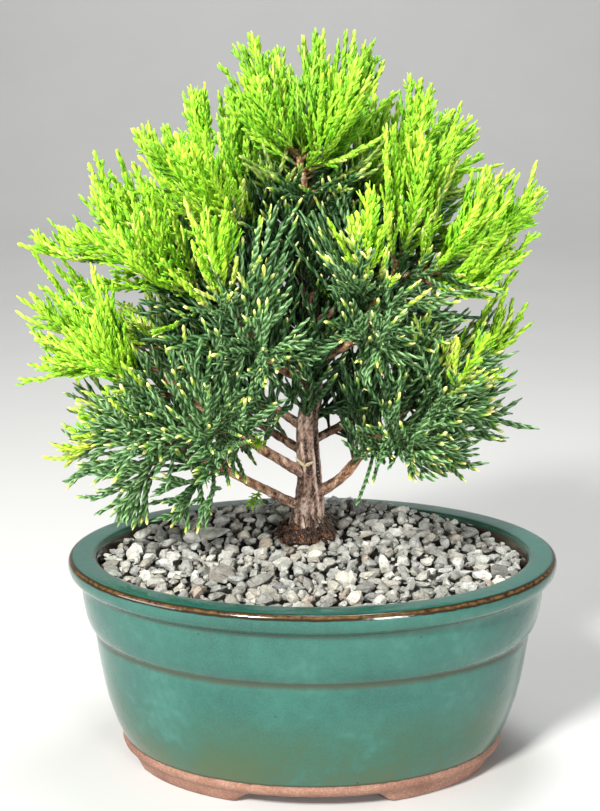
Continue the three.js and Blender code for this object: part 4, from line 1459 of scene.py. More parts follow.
@dataclass
class Whipcord:
    """Turns shoots into cords of scale leaves.

    Each ring has four points. Every other point stands out as the tip of a scale and is
    carried forward along the shoot, and the next ring swaps them, so that the scales
    overlap in pairs, each pair square to the last.
    """

    step: float = 1.8
    old_step: float = 2.3
    short: float = 2.9
    tip_reach: float = 1.30
    body_reach: float = 0.80
    forward: float = 0.5
    taper: float = 0.22
    foot_girth: float = 0.8
    end_girth: float = 0.30
    shoulder: float = 0.82
    end_tooth: float = 0.6
    fringe_carry: float = 0.9
    wood_fade: float = 0.12
    new_from: float = 0.3

    def surface(self, shoots: Shoots) -> Surface:
        """All cords as one surface.

        Args:
            shoots: The shoots.

        Returns:
            Closed cords, marked with freshness, tooth, tint and wood.
        """
        lengths = shoots.length()
        step = np.where(shoots.fresh > self.new_from, self.step, self.old_step)
        steps = np.maximum(np.where(lengths < self.short, 1, 2), np.round(lengths / step)).astype(int)
        rings = steps + 1
        owner = np.repeat(np.arange(len(steps)), rings)
        starts = np.cumsum(rings) - rings
        index = np.arange(rings.sum()) - starts[owner]
        t = index / steps[owner]
        rows = shoots.rows(owner)
        middle = rows.at(t)
        along = rows.heading(t)
        across = square_to(rows.flank, along)
        beside = np.cross(along, across)
        pace = (rows.length() / steps[owner])[:, None]
        first, last = index == 0, index == steps[owner]
        near_end = (index == steps[owner] - 1) & (index > 0)
        radius = rows.girth * np.where(last, self.end_girth, 1.0 - self.taper * t**2)
        radius = radius * np.where(first, self.foot_girth, 1.0) * np.where(near_end, self.shoulder, 1.0)
        sides = np.arange(4)
        tooth = ((index[:, None] + sides[None, :]) % 2 == 0) & ~(first | last)[:, None]
        tooth = tooth & (rows.wood < t + 0.02)[:, None]
        flanks = tooth & (sides % 2 == 0)[None]
        fringe = np.where(flanks, rows.fringe[:, None], 1.0)
        reach = np.where(tooth, self.tip_reach * fringe, self.body_reach) * radius[:, None]
        reach = np.where((last | first)[:, None], radius[:, None], reach)
        angle = sides * np.pi / 2
        ring = spokes(across, beside, angle)
        points = middle[:, None] + ring * reach[..., None]
        carry = np.where(tooth, self.forward + self.fringe_carry * (fringe - 1.0), 0.0)
        points = points + carry[..., None] * (along * pace)[:, None]
        follows = np.flatnonzero(~last) * 4
        base = follows[:, None] + sides[None]
        beside_number = follows[:, None] + (sides[None] + 1) % 4
        walls = np.stack([base, beside_number, beside_number + 4, base + 4], axis=-1).reshape(-1, 4)
        ends = (np.flatnonzero(last) * 4)[:, None] + sides[None]
        feet = (np.flatnonzero(first) * 4)[:, None] + sides[::-1][None]
        woody = ease((rows.wood - t) / self.wood_fade + 0.5) * (rows.wood > 0)
        # End rings take a scale tip's value of the tooth mark, so that the painted shade between scales
        # leaves the cords' tips light.
        teeth = np.where(last[:, None], self.end_tooth, tooth).ravel()
        marks = {
            "fresh": np.repeat(rows.freshness(t), 4), "tooth": teeth,
            "tint": np.repeat(rows.tint, 4), "wood": np.repeat(woody, 4),
        }
        return Surface(points.reshape(-1, 3), np.vstack([walls, ends, feet]), marks=marks)


@dataclass(frozen=True)
class SprayPlan:
    """One spray: the limb and share where its leader sits, its tip, its bow and its growth."""

    limb: str
    share: float
    tip: Spot
    bow: float
    growth: Growth


GOLD, GREEN = Growth.GOLD, Growth.GREEN
SPRAYS: tuple[SprayPlan, ...] = tuple(SprayPlan(*row) for row in (
    ("trunk", 1.0, (1, 22, 301), 0, GOLD), ("trunk", 0.95, (-26, 17, 299), -6, GOLD),
    ("trunk", 0.9, (24, 25, 295), -6, GOLD), ("upLeft", 1.0, (-50, 19, 277), -5, GOLD),
    ("upLeft", 0.72, (-72, 16, 261), -8, GOLD), ("leftHigh", 0.62, (-92, 24, 238), -9, GOLD),
    ("leftHigh", 1.0, (-121, 14, 215), -3, GOLD), ("leftMid", 1.0, (-120, 24, 182), -3, GOLD),
    ("midLeft", 1.0, (-114, 10, 158), 6, GOLD), ("lowLeft", 1.0, (-104, 8, 122), 6, GREEN),
    ("lowLeft", 0.76, (-82, -4, 101), 8, GREEN), ("lowLeft", 0.5, (-54, -14, 104), 7, GREEN),
    ("upRight", 1.0, (46, 18, 275), -4, GOLD), ("upRight", 0.7, (66, 26, 263), -7, GOLD),
    ("rightHigh", 1.0, (94, 16, 236), -8, GOLD), ("rightHigh", 0.8, (86, 22, 206), -4, GOLD),
    ("right", 1.0, (84, 6, 182), -5, GOLD), ("right", 0.72, (84, 12, 144), 3, GREEN),
    ("right", 0.5, (60, 2, 122), 6, GREEN), ("frontTop", 1.0, (-24, -22, 280), -4, GOLD),
    ("frontTop", 0.75, (14, -24, 278), -6, GOLD), ("frontRightHigh", 0.6, (42, -26, 256), -8, GOLD),
    ("upLeft", 0.45, (-50, -28, 248), -8, GOLD), ("leftHigh", 0.45, (-74, -30, 222), -8, GOLD),
    ("midLeft", 0.85, (-90, -26, 186), -8, GOLD), ("midLeft", 0.66, (-74, -36, 144), 2, GREEN),
    ("midLeft", 0.45, (-44, -44, 146), 2, GREEN), ("frontLeft", 0.7, (-18, -50, 184), -2, GREEN),
    ("frontLeft", 1.0, (-38, -44, 218), -5, GREEN), ("frontRight", 1.0, (18, -46, 222), -6, GREEN),
    ("frontRight", 0.7, (26, -50, 182), 0, GREEN), ("frontRightHigh", 1.0, (68, -24, 236), -6, GOLD),
    ("frontRightHigh", 0.8, (72, -30, 202), -2, GOLD), ("right", 0.85, (58, -36, 166), -2, GOLD),
    ("right", 0.6, (40, -38, 138), 4, GREEN), ("upBack", 1.0, (-2, 70, 278), -4, GOLD),
    ("upBack", 0.75, (-38, 62, 270), -6, GOLD), ("upRight", 0.45, (32, 66, 266), -8, GOLD),
    ("backUpLeft", 1.0, (-66, 66, 243), -5, GOLD), ("backUpRight", 1.0, (62, 62, 240), -5, GOLD),
    ("upBack", 0.5, (4, 94, 238), -8, GOLD), ("backUpLeft", 0.75, (-90, 60, 208), 2, GOLD),
    ("backUpLeft", 0.5, (-42, 92, 206), -4, GOLD), ("backUpRight", 0.6, (40, 92, 206), -4, GOLD),
    ("backUpRight", 0.8, (80, 60, 194), 4, GOLD), ("backLeftLow", 1.0, (-80, 66, 152), 6, GREEN),
    ("backLeftLow", 0.75, (-38, 88, 152), 2, GREEN), ("back", 0.8, (6, 96, 176), -2, GREEN),
    ("backRightLow", 1.0, (62, 76, 152), 6, GREEN), ("backLeftLow", 0.5, (-34, 64, 116), 5, GREEN),
    ("backRightLow", 0.6, (26, 70, 120), 5, GREEN),
))


@dataclass(frozen=True)
class Habit:
    """How growth of one age bears its side cords.

    Pitch is the distance between two of them, least and share give their length from
    what is left of the parent, and lobe_pitch is the distance between their own lobes.
    """

    girth: float
    pitch: float
    least: float
    share: float
    slant: float
    roll: float
    bend: float
    lobe_pitch: float


NEW = Habit(girth=0.66, pitch=2.7, least=3.2, share=0.22, slant=0.50, roll=0.22, bend=0.18, lobe_pitch=3.4)
OLD = Habit(girth=0.86, pitch=5.4, least=7.0, share=0.62, slant=0.54, roll=0.45, bend=0.30, lobe_pitch=9.0)


def by_age(new: Array, name: str) -> Array:
    """One value of the habits for each shoot, by whether it is new."""
    return np.where(new, getattr(NEW, name), getattr(OLD, name))


@dataclass
class Crown:
    """The foliage: a leader with its twigs for each spray, and flat fronds on them all.

    Every twig is the middle cord of a frond, which bears side cords by turns on its two
    flanks. New golden fronds are narrow plumes of short fringed cords. Old green ones
    are open fans of long bare cords, and many of those end in a pale new tip. Each
    spray grows by a copy of these rules with random draws of its own, and with a lift,
    which is how much higher the golden growth starts on it.
    """

    lift: float = 0.0
    rng: np.random.Generator = field(default_factory=lambda: np.random.default_rng(0))
    seed: int = 5
    leader_girth: float = 1.1
    leader_wood: float = 0.28
    twig_girth: float = 0.92
    lobe_girth: float = 0.52
    gold_pitch: float = 11.5
    green_pitch: float = 9.0
    twig_span: Pair = (0.16, 0.76)
    twig_size: Pair = (0.40, 0.34)
    twig_fresh: Pair = (0.58, 0.84)
    gold_between: Pair = (0.45, 0.85)
    green_between: Pair = (0.60, 1.05)
    slant: float = 0.76
    finer_slant: float = 0.60
    side_span: Pair = (0.14, 0.93)
    side_fresh: Pair = (0.70, 1.05)
    long_share: float = 0.14
    long_size: float = 1.7
    lobe_span: Pair = (0.25, 0.90)
    lobe_length: Pair = (1.7, 3.4)
    longest: float = 42.0
    shortest: float = 2.2
    ceiling: float = 302.0
    ragged: float = 16.0
    lowest: float = 104.0
    right_lift: float = 16.0
    left_reach: Table = (
        (95, 88), (104, 92), (116, 98), (139, 105), (158, 112), (176, 115), (194, 112), (214, 120),
        (222, 104), (236, 86), (257, 80), (266, 62), (280, 46), (290, 34), (303, 27),
    )
    right_reach: Table = (
        (105, 40), (115, 52), (122, 66), (139, 84), (160, 80), (190, 86), (206, 87), (225, 93),
        (236, 97), (248, 82), (268, 70), (278, 48), (296, 28), (303, 14),
    )
    deep_reach: Table = ((95, 58), (150, 76), (200, 80), (240, 77), (275, 58), (303, 30))
    edge: float = 1.02
    uneven: float = 0.07
    margin: float = 7.0
    axis: Pair = (-1.0, 21.0)
    gold_floor: float = 226.0
    gold_slope: float = 0.88
    gold_fade: float = 26.0
    gold_depth: float = 0.5
    gold_shell: float = 0.60
    shell_depth: float = 95.0
    shell_foot: float = 150.0
    shell_height: float = 130.0
    green_lift: float = 22.0
    left_fall: Pair = (-80.0, 40.0)
    inner_lift: float = 34.0
    inner_length: Pair = (16.0, 30.0)
    inner_slant: Pair = (0.75, 1.2)
    inner_rise: float = 0.8
    climb: float = 0.34
    new_from: float = 0.35
    pale_share: float = 0.40
    pale_length: float = 3.6
    pale_fresh: float = 0.50
    shade_span: Pair = (0.28, 0.58)
    wall_gap: float = 0.3
    joint_depth: float = 1.2
    seat_sink: float = 0.95

    def above(self, points: Array) -> Array:
        """How far places lie within the golden growth.

        New growth covers the crown above an oval cone whose floor falls away from the
        trunk, less so towards the front and the back, and of that only the outer shell.

        Args:
            points: Places, one to a row.

        Returns:
            Distances in millimetres, below 0 in the green.
        """
        away = np.hypot(points[:, 0] - self.axis[0], self.gold_depth * (points[:, 1] - self.axis[1]))
        over = points[:, 2] - (self.gold_floor + self.lift - self.gold_slope * away)
        out = np.maximum(self.openness(points), (points[:, 2] - self.shell_foot) / self.shell_height)
        return np.minimum(over, self.shell_depth * (out - self.gold_shell))

    def crossing(self, foot: Array, tip: Array) -> Array:
        """Where shoots turn golden: where they pass the floor, give or take a margin.

        Args:
            foot: Where each starts.
            tip: Where each ends.

        Returns:
            Shares of the length, below 0 for shoots that are golden all along and over 1
            for those that stay green.
        """
        start, end = self.above(foot), self.above(tip)
        margin = self.rng.normal(scale=self.margin, size=len(foot))
        steady = np.where(start > margin, -0.3, 1.3)
        share = (margin - start) / np.maximum(end - start, 1.0)
        return np.where(end > start, np.clip(share, -0.3, 1.3), steady)

    def goldness(self, points: Array, shift: Array) -> Array:
        """How golden places are, from 0 to 1: their height over a floor that the shift moves."""
        return ease(self.above(points) / self.gold_fade + 0.5 + 0.9 * (shift - 0.5))

    def openness(self, points: Array) -> Array:
        """How far out in the crown a place lies.

        At each height the crown is an oval that reaches further to the left than to the
        right. The result is the place's distance from the trunk as a share of that oval's.

        Args:
            points: Places, one to a row.

        Returns:
            Values from 0 at the trunk to 1 at the outside.
        """
        left, right, deep = (
            np.interp(points[:, 2], *np.array(reach, float).T)
            for reach in (self.left_reach, self.right_reach, self.deep_reach)
        )
        across = points[:, 0] - self.axis[0]
        return np.hypot(across / np.where(across < 0, left, right), (points[:, 1] - self.axis[1]) / deep)

    def leader(self, plan: SprayPlan) -> tuple[Array, Array, Array]:
        """A leader's curve: out of its limb's side or end, then in one bow to its tip.

        Args:
            plan: The spray.

        Returns:
            The three points of a quadratic curve.
        """
        place, heading, radius = LIMBS[plan.limb].seat(plan.share)
        end = np.array(plan.tip, float)
        aim = unit((place + end) / 2 + UP * 2 * plan.bow - place)
        slope = float(aim @ heading)
        if plan.share == 1:
            start = place + heading * (self.wall_gap - self.joint_depth)
        else:
            reach = self.seat_sink * radius + self.wall_gap - self.joint_depth
            start = place + unit(aim - slope * heading) * reach
        return start, (start + end) / 2 + UP * 2 * plan.bow, end

    def shoots(self, foot: Array, run: Array, bow: Array, flank: Array, girth: float | Array,
               **values: Array) -> Shoots:
        """A set of shoots with the given courses, and even values where none are given.

        Leaves are darker the deeper they stand in the crown, as painted shade.

        Args:
            foot: Where each starts.
            run: Its course.
            bow: How it bends away.
            flank: The sideways direction of its frond.
            girth: The cord's radius.
            values: Arrays for young, fresh, turn, tint, wood or fringe.

        Returns:
            The shoots.
        """
        count = len(foot)
        plain = {"young": 0.0, "fresh": 0.0, "turn": 0.3, "tint": 0.5, "wood": 0.0, "fringe": 1.0}
        filled = {name: np.full(count, value) for name, value in plain.items()}
        inside, depth = self.shade_span
        # Darker the deeper in the crown: painted shade; the random part added next is a spread of tone.
        tint = 0.03 + 0.87 * ease((self.openness(foot + 0.5 * run) - inside) / depth)
        filled["tint"] = np.clip(tint + self.rng.normal(scale=0.2, size=count), 0, 1)
        filled.update(values)
        return Shoots(foot, run, bow, flank, np.broadcast_to(girth, count).astype(float), **filled)

    def held(self, foot: Array, heading: Array, bow: Array, length: Array) -> Array:
        """Lengths cut back where a shoot would leave the crown at its top, its foot or its sides.

        The crown's edge is ragged. Towards the sides a shoot is cut back twice, each time
        by the share of its way that still lies inside.

        Args:
            foot: Where each starts.
            heading: Its unit course.
            bow: How it bends away, for a length of one.
            length: The lengths wanted.

        Returns:
            The lengths allowed.
        """
        count = len(foot)
        rise = heading[:, 2] + bow[:, 2]
        top = self.ceiling - self.ragged * self.rng.uniform(0, 1, count)
        low = self.lowest + self.right_lift * ease(foot[:, 0] / 50 + 0.5) - 6 * self.rng.uniform(0, 1, count)
        end = np.where(rise > 0, top, low)
        steep = np.where(rise > 0, np.maximum(rise, 0.05), np.minimum(rise, -0.05))
        length = np.minimum(length, np.maximum((end - foot[:, 2]) / steep, self.shortest))
        before = self.openness(foot)
        edge = self.edge + self.uneven * self.rng.normal(size=count)
        for _ in range(2):
            after = self.openness(foot + (heading + bow) * length[:, None])
            share = (edge - before) / np.maximum(after - before, 1e-6)
            length = length * np.where(after > edge, np.clip(share, 0.3, 1.0), 1.0)
        return np.maximum(length, self.shortest)

    def fringed(self, golden: Array) -> Array:
        """How far the scales stand out on the flanks: more on new growth."""
        return 1.0 + 0.26 * ease((golden - 0.2) / 0.5)

    def twigs(self, index: int, curve: Shoots, reach: float, growth: Growth) -> Shoots:
        """The twigs of one leader, in pairs, each pair square to the last, and finer ones between.

        Args:
            index: The spray's number.
            curve: The leader.
            reach: Its length.
            growth: What kind of spray it is.

        Returns:
            The twigs.
        """
        rng, gold = self.rng, growth is GOLD
        pairs = max(3, round(reach / (self.gold_pitch if gold else self.green_pitch)))
        between = self.gold_between if gold else self.green_between
        (start, span), (least, more) = self.twig_span, self.twig_size
        rows = []
        for k in range(pairs):
            share = start + span * (k + 0.5 * draw(index + 31, k)) / pairs
            for side in (k % 2, k % 2 + 2):
                full = (least + more * (1 - share)) * reach * (0.8 + 0.4 * draw(index + 83, k + 7 * side))
                full = min(full, self.longest) * (1 - 0.30 * share * share)
                rows.append((share, (side + 0.5 + 0.15 * rng.normal()) * math.pi / 2, full, self.slant))
                angle = (side + 1.5 + 0.4 * rng.normal()) * math.pi / 2
                finer = rng.uniform(*between) * full
                rows.append((share + (-0.08 if gold else 0.4 / pairs), angle, finer, self.finer_slant))
        share, angle, length, slant = np.array(rows).T
        owner = curve.rows(np.zeros(len(share), int))
        axis = owner.heading(share)
        level = square_to(np.cross(UP, axis), axis)
        across = unit(level * np.cos(index) + np.cross(axis, level) * np.sin(index))
        outward = leaning(across, np.cross(axis, across), angle)
        foot = owner.at(share)
        place = foot + (axis + outward) * (0.7 * length)[:, None]
        golden = self.goldness(place, rng.uniform(0, 1, len(foot)))
        heading = leaning(axis, outward, slant * (1 - 0.22 * golden))
        climb = self.climb * (0.3 + 0.7 * golden) * ease((foot[:, 2] - 110) / 90)
        heading = unit(heading + UP * climb[:, None])
        bow = UP * (0.14 + 0.30 * golden)[:, None] + axis * (0.20 + 0.10 * golden)[:, None]
        length = self.held(foot, heading, bow, length)[:, None]
        turn = self.crossing(foot, foot + (heading + bow) * length)
        fresh = rng.uniform(*self.twig_fresh, len(foot))
        wood = 0.22 * (1 - share) * (rng.uniform(0, 1, len(foot)) < 0.5)
        return self.shoots(
            foot, heading * length, bow * length, np.cross(axis, outward), self.twig_girth,
            fresh=np.where(turn < 0.8, fresh, 0.0), turn=turn, fringe=self.fringed(golden), wood=wood,
        )

    def offshoots(self, rows: Shoots, t: Array, side: Array, slant: Array, length: Array,
                  bend: Array, roll: Array, girth: Array) -> Shoots:
        """Shoots that leave others sideways in the plane of their frond.

        The heading is the parent's turned by the slant towards its flank, which is
        rolled a little about the parent first. The shoot bends back towards the
        parent's heading as it runs out.

        Args:
            rows: The parents, one for each shoot.
            t: Where each leaves its parent.
            side: 1 or −1 for the flank it leaves on.
            slant: The angle to the parent.
            length: Lengths of the shoots.
            bend: How far they bend back, as a share of the length.
            roll: The roll about the parent, in radians.
            girth: The cord's radius.

        Returns:
            The shoots.
        """
        count = len(t)
        axis = rows.heading(t)
        flank = square_to(rows.flank, axis)
        outward = leaning(flank, np.cross(axis, flank), roll) * side[:, None]
        heading = leaning(axis, outward, slant)
        foot = rows.at(t)
        bow = axis * bend[:, None] + UP * 0.08
        length = self.held(foot, heading, bow, length)[:, None]
        turn = self.crossing(foot, foot + heading * length)
        fresh = np.where(rows.fresh > self.new_from, self.rng.uniform(*self.side_fresh, count), 0.4)
        fresh = np.where(turn < 0.9, fresh, 0.0)
        return self.shoots(
            foot, heading * length, bow * length, square_to(flank, unit(heading)), girth,
            young=0.9 * rows.freshness(t), fresh=fresh, turn=np.maximum(turn, 0.0),
            fringe=self.fringed(fresh),
            tint=np.clip(rows.tint + self.rng.normal(scale=0.12, size=count), 0, 1),
        )

    def borne(self, parents: Shoots, pitch: Array, span: Pair) -> tuple[Shoots, Array, Array]:
        """Where shoots leave their parents: at even steps, on one flank and the other by turns.

        Args:
            parents: The shoots that bear them.
            pitch: Distance between two on each parent.
            span: Shares of the parent between which they stand.

        Returns:
            The parent of each, the share of its length, and the flank as 1 or −1.
        """
        start, stop = span
        counts = (parents.length() * (stop - start) / pitch).astype(int)
        owner = np.repeat(np.arange(len(counts)), counts)
        index = np.arange(counts.sum()) - np.repeat(np.cumsum(counts) - counts, counts)
        t = start + (stop - start) * (index + 0.5) / counts[owner]
        return parents.rows(owner), t, np.where((index + owner) % 2 == 0, 1.0, -1.0)

    def fronds(self, twigs: Shoots) -> Shoots:
        """Twigs with their side cords and the lobes of both.

        Side cords shorten towards the twig's tip. On new growth they are short and close,
        in one plane, now and then a long one, and on old growth long, open and thin.
        Some old cords end in a pale new tip.

        Args:
            twigs: The twigs.

        Returns:
            All the cords.
        """
        rng = self.rng
        pitch = by_age(twigs.fresh > self.new_from, "pitch")
        rows, t, side = self.borne(twigs, pitch, self.side_span)
        new = rows.fresh > self.new_from
        count = len(t)
        t = t + rng.uniform(-0.02, 0.02, count)
        size = by_age(new, "least") + by_age(new, "share") * rows.length() * (1 - t)
        size = size * rng.uniform(0.70, 1.25, count)
        size = size * np.where(new & (rng.uniform(0, 1, count) < self.long_share), self.long_size, 1.0)
        slant = by_age(new, "slant") + rng.normal(scale=0.09, size=count)
        roll = rng.normal(scale=by_age(new, "roll"))
        bend, girth = by_age(new, "bend"), by_age(new, "girth")
        sides = self.offshoots(rows, t, side, slant, size, bend, roll, girth)
        pitch = by_age(sides.fresh > self.new_from, "lobe_pitch")
        rows, t, side = self.borne(sides, pitch, self.lobe_span)
        count = len(t)
        slant = 0.50 + rng.normal(scale=0.1, size=count)
        roll = rng.normal(scale=0.4, size=count)
        size = rng.uniform(*self.lobe_length, count)
        bend, girth = np.full(count, 0.1), np.full(count, self.lobe_girth)
        lobes = self.offshoots(rows, t, -side, slant, size, bend, roll, girth)
        ends = Shoots.joined([sides, lobes])
        pale = (ends.fresh < self.new_from) & (rng.uniform(0, 1, len(ends.fresh)) < self.pale_share)
        ends.fresh = np.where(pale, self.pale_fresh, ends.fresh)
        ends.turn = np.where(pale, 1 - self.pale_length / ends.length(), ends.turn)
        return Shoots.joined([twigs, ends])

    def fall(self, place: Array) -> float:
        """How much of the green's lift holds at a place: less and less towards the left."""
        start, width = self.left_fall
        return float(np.clip((place[0] - start) / width, -0.5, 1.0))

    def spray(self, index: int, plan: SprayPlan) -> Surface:
        """One spray: a leader, and fronds on its twigs.

        Args:
            index: The spray's number.
            plan: Where it grows.

        Returns:
            The spray's surface.
        """
        start, middle, end = self.leader(plan)
        run, bow = 2 * (middle - start), start - 2 * middle + end
        flank = unit(np.cross(run, UP + np.array([0.01, 0.0, 0.0])))
        shares = np.linspace(0, 1, 60)[:, None]
        samples = start + run * shares + bow * shares**2
        reach = float(np.linalg.norm(np.diff(samples, axis=0), axis=1).sum())
        lift = self.green_lift * self.fall(end) if plan.growth is GREEN else 0.0
        rules = replace(self, lift=lift, rng=np.random.default_rng(self.seed + 17 * index))
        golden = rules.goldness(end[None], np.array([0.6]))
        leader = rules.shoots(
            start[None], run[None], bow[None], flank[None], self.leader_girth,
            fresh=0.75 * golden, turn=np.array([0.5]), wood=np.array([self.leader_wood]),
            fringe=self.fringed(golden),
        )
        twigs = rules.twigs(index, leader, reach, plan.growth)
        return Whipcord().surface(Shoots.joined([leader, rules.fronds(twigs)]))

    def inner(self, number: int, name: str) -> Surface:
        """Green fronds that grow straight from a branch or the upper trunk.

        Args:
            number: The limb's number.
            name: Its name.

        Returns:
            Their surface.
        """
        limb, rng = LIMBS[name], np.random.default_rng(self.seed + 900 + number)
        stop = 0.95 if name == "trunk" else 1.0
        shares = limb.bare + (stop - limb.bare) * rng.uniform(0, 1, limb.fronds) ** 0.85
        count = limb.fronds
        seats = [limb.seat(float(share)) for share in shares]
        foot = np.array([place for place, _, _ in seats])
        axis = np.array([heading for _, heading, _ in seats])
        wild = rng.normal(size=(count, 3))
        outward = square_to(wild + UP * self.inner_rise + np.array([0.0, limb.lean, 0.0]), axis)
        heading = leaning(axis, outward, rng.uniform(*self.inner_slant, count))
        bow = UP * 0.12 + axis * 0.12
        length = (rng.uniform(*self.inner_length, count) + 14 * shares)[:, None]
        lift = self.inner_lift * self.fall(np.array(limb.points[-1], float))
        rules = replace(self, lift=lift, rng=rng)
        turn = rules.crossing(foot, foot + heading * length)
        twigs = rules.shoots(
            foot, heading * length, bow * length, unit(np.cross(heading, axis)), OLD.girth,
            fresh=np.where(turn < 0.8, 0.7, 0.0), turn=turn, wood=rng.uniform(0.05, 0.25, count),
        )
        return Whipcord(old_step=2.9).surface(rules.fronds(twigs))

    def build(self) -> None:
        """Builds each spray in place of its solid, and the inner fronds of each limb."""
        materials = {
            GOLD: FoliageFinish("golden_foliage", 0.45).material(),
            GREEN: FoliageFinish("green_foliage", 0.42).material(),
        }
        slots = {GOLD: Slot.GOLD, GREEN: Slot.GREEN}
        counts = {GOLD: 0, GREEN: 0}
        for index, plan in enumerate(SPRAYS):
            counts[plan.growth] += 1
            number = f"{plan.growth.value}_{counts[plan.growth]:02d}"
            piece = self.spray(index, plan).build(f"foliage_{number}", materials[plan.growth])
            settle(piece, slots[plan.growth], f"spray_{number}")
        for number, name in enumerate(LIMBS):
            surface = self.inner(number, name)
            settle(surface.build(f"inner_fronds_{number + 1:02d}", materials[GREEN]), Slot.GREEN)


@dataclass
class NeedleTufts:
    """Small tufts of awl-shaped young leaves, pale green, on trunk and branches."""

    seats: tuple = (
        ("lowLeft", 0.22, (-0.3, -0.8, -0.4)), ("lowLeft", 0.62, (0.2, -0.7, -0.5)),
        ("right", 0.52, (0.3, -0.9, -0.2)), ("right", 0.78, (0.5, -0.6, -0.5)),
        ("midLeft", 0.30, (0.1, -0.9, 0.3)), ("midLeft", 0.66, (-0.2, -0.9, -0.2)),
        ("trunk", 0.50, (-0.5, -0.8, 0.2)), ("trunk", 0.66, (0.6, -0.7, 0.3)),
        ("backRightLow", 0.4, (0.3, 0.8, -0.2)), ("backLeftLow", 0.5, (-0.4, 0.8, -0.3)),
    )
    whorls: int = 7
    length: float = 11.0
    needle: float = 4.2
    seed: int = 77

    def build(self) -> Piece:
        """Builds all the tufts as one piece: stalks, each with whorls of three needles.

        Returns:
            The tufts.
        """
        rng = np.random.default_rng(self.seed)
        crown = Crown(rng=rng)
        parts = []
        for limb, share, aim in self.seats:
            foot, _, _ = LIMBS[limb].seat(share)
            heading = unit(np.array(aim))
            side = unit(np.cross(heading, UP))
            up = np.cross(side, heading)
            stalk = crown.shoots(
                foot[None], heading[None] * self.length, up[None], side[None], 0.5,
                young=np.array([0.3]), fresh=np.array([0.7]),
            )
            count = 3 * self.whorls
            index = np.arange(count)
            t = 0.25 + 0.75 * (index // 3 + 1) / self.whorls * 0.97
            turn = index * 2 * np.pi / 3 + (index // 3) * np.pi / 3 + rng.normal(scale=0.2, size=count)
            outward = leaning(side, up, turn)
            course = leaning(heading, outward, np.where(t > 0.9, 0.5, 0.95))
            needles = crown.shoots(
                stalk.rows(np.zeros(count, int)).at(t), course * self.needle, heading * 0.5 + 0 * course,
                square_to(np.cross(course, outward + 0.01), course), 0.42,
                young=np.full(count, 0.62), fresh=rng.uniform(0.75, 1.0, count),
            )
            parts.append(Shoots.joined([stalk, needles]))
        cords = Whipcord(step=2.1, tip_reach=1.0, body_reach=1.0, taper=0.4, end_girth=0.2)
        surface = cords.surface(Shoots.joined(parts))
        piece = surface.build("needle_tufts", FoliageFinish("young_needles", 0.5).material())
        return settle(piece, Slot.GREEN)


@dataclass(frozen=True)
class DryFinish(Finish):
    """Dead fibres: dark where they are roots, cream where they are a dried stub."""

    def colour(self, tree: Tree) -> None:
        """Two tones told apart by the mark of freshness, both finely streaked.

        Args:
            tree: The material's nodes.
        """
        streak = tree.noise(tree.where(), 1600.0, 3.0)
        root = tree.ramp(streak, [(0.35, (0.014, 0.009, 0.007)), (0.65, (0.110, 0.070, 0.046))])
        dry = tree.ramp(streak, [(0.35, (0.720, 0.560, 0.300)), (0.65, (0.960, 0.880, 0.640))])
        tree.feed(Base_Color=tree.blend(tree.mark("fresh"), root, dry))


@dataclass
class DeadStrands:
    """Root hairs that hang from the trunk's foot into the gravel, and a dried forked stub."""

    foot: Spot = (-3.0, 21.0, 95.5)
    hairs: int = 40
    out: float = 7.0
    run: Pair = (5.0, 9.0)
    drop: Pair = (4.0, 8.0)
    girth: Pair = (0.16, 0.34)
    fork: Spot = (-3.4, 17.2, 120.2)
    arms: tuple = (((-0.70, -0.60, 0.72), 6.4), ((0.80, -0.70, 0.42), 5.6), ((0.25, -0.9, 0.1), 2.4))
    seed: int = 61

    def build(self) -> Piece:
        """Builds hairs and stub as one piece.

        Returns:
            The strands.
        """
        rng = np.random.default_rng(self.seed)
        crown = Crown(rng=rng)
        turn = rng.normal(-0.35, 0.75, self.hairs)
        outward = np.column_stack([np.cos(turn), np.sin(turn), 0 * turn])
        rise = UP * rng.uniform(-2.0, 4.0, self.hairs)[:, None]
        foot = np.array(self.foot) + outward * self.out + rise
        run = outward * rng.uniform(*self.run, self.hairs)[:, None]
        run = run + rng.normal(scale=1.4, size=(self.hairs, 3))
        drop = -UP * rng.uniform(*self.drop, self.hairs)[:, None]
        flank = np.cross(outward, UP)
        hairs = crown.shoots(foot, run, drop, flank, rng.uniform(*self.girth, self.hairs))
        aims = unit(np.array([aim for aim, _ in self.arms]))
        lengths = np.array([length for _, length in self.arms])[:, None]
        ones = np.ones(len(aims))
        fork = np.array(self.fork) * np.ones((len(aims), 1))
        stub = crown.shoots(
            fork, aims * lengths, 0.12 * UP * lengths, square_to(np.cross(aims, UP), aims), 0.85,
            young=ones, fresh=ones,
        )
        cords = Whipcord(step=1.4, old_step=1.6, tip_reach=1.0, body_reach=1.0, taper=0.6, end_girth=0.2)
        surface = cords.surface(Shoots.joined([hairs, stub]))
        return settle(surface.build("dead_strands", DryFinish("dry_fibre", 0.8).material()), Slot.BARK)


# The studio


@dataclass(frozen=True)
class Lamp:
    """A soft rectangular light: its place and target in metres from the pot, its size and watts."""

    name: str
    place: Spot
    size: Pair
    power: float
    warmth: Spot = (1.0, 1.0, 1.0)
    target: Spot = (0.0, 0.0, 0.14)

    def build(self) -> None:
        """Adds the light, facing its target."""
        data = bpy.data.lights.new(self.name, "AREA")
        data.shape = "RECTANGLE"
        data.size, data.size_y = self.size
        data.energy = self.power
        data.color = self.warmth
        lamp = linked(self.name, data)
        lamp.location = PLACE + np.array(self.place)
        aim = Vector(PLACE + np.array(self.target)) - lamp.location
        lamp.rotation_euler = aim.to_track_quat("-Z", "Y").to_euler()


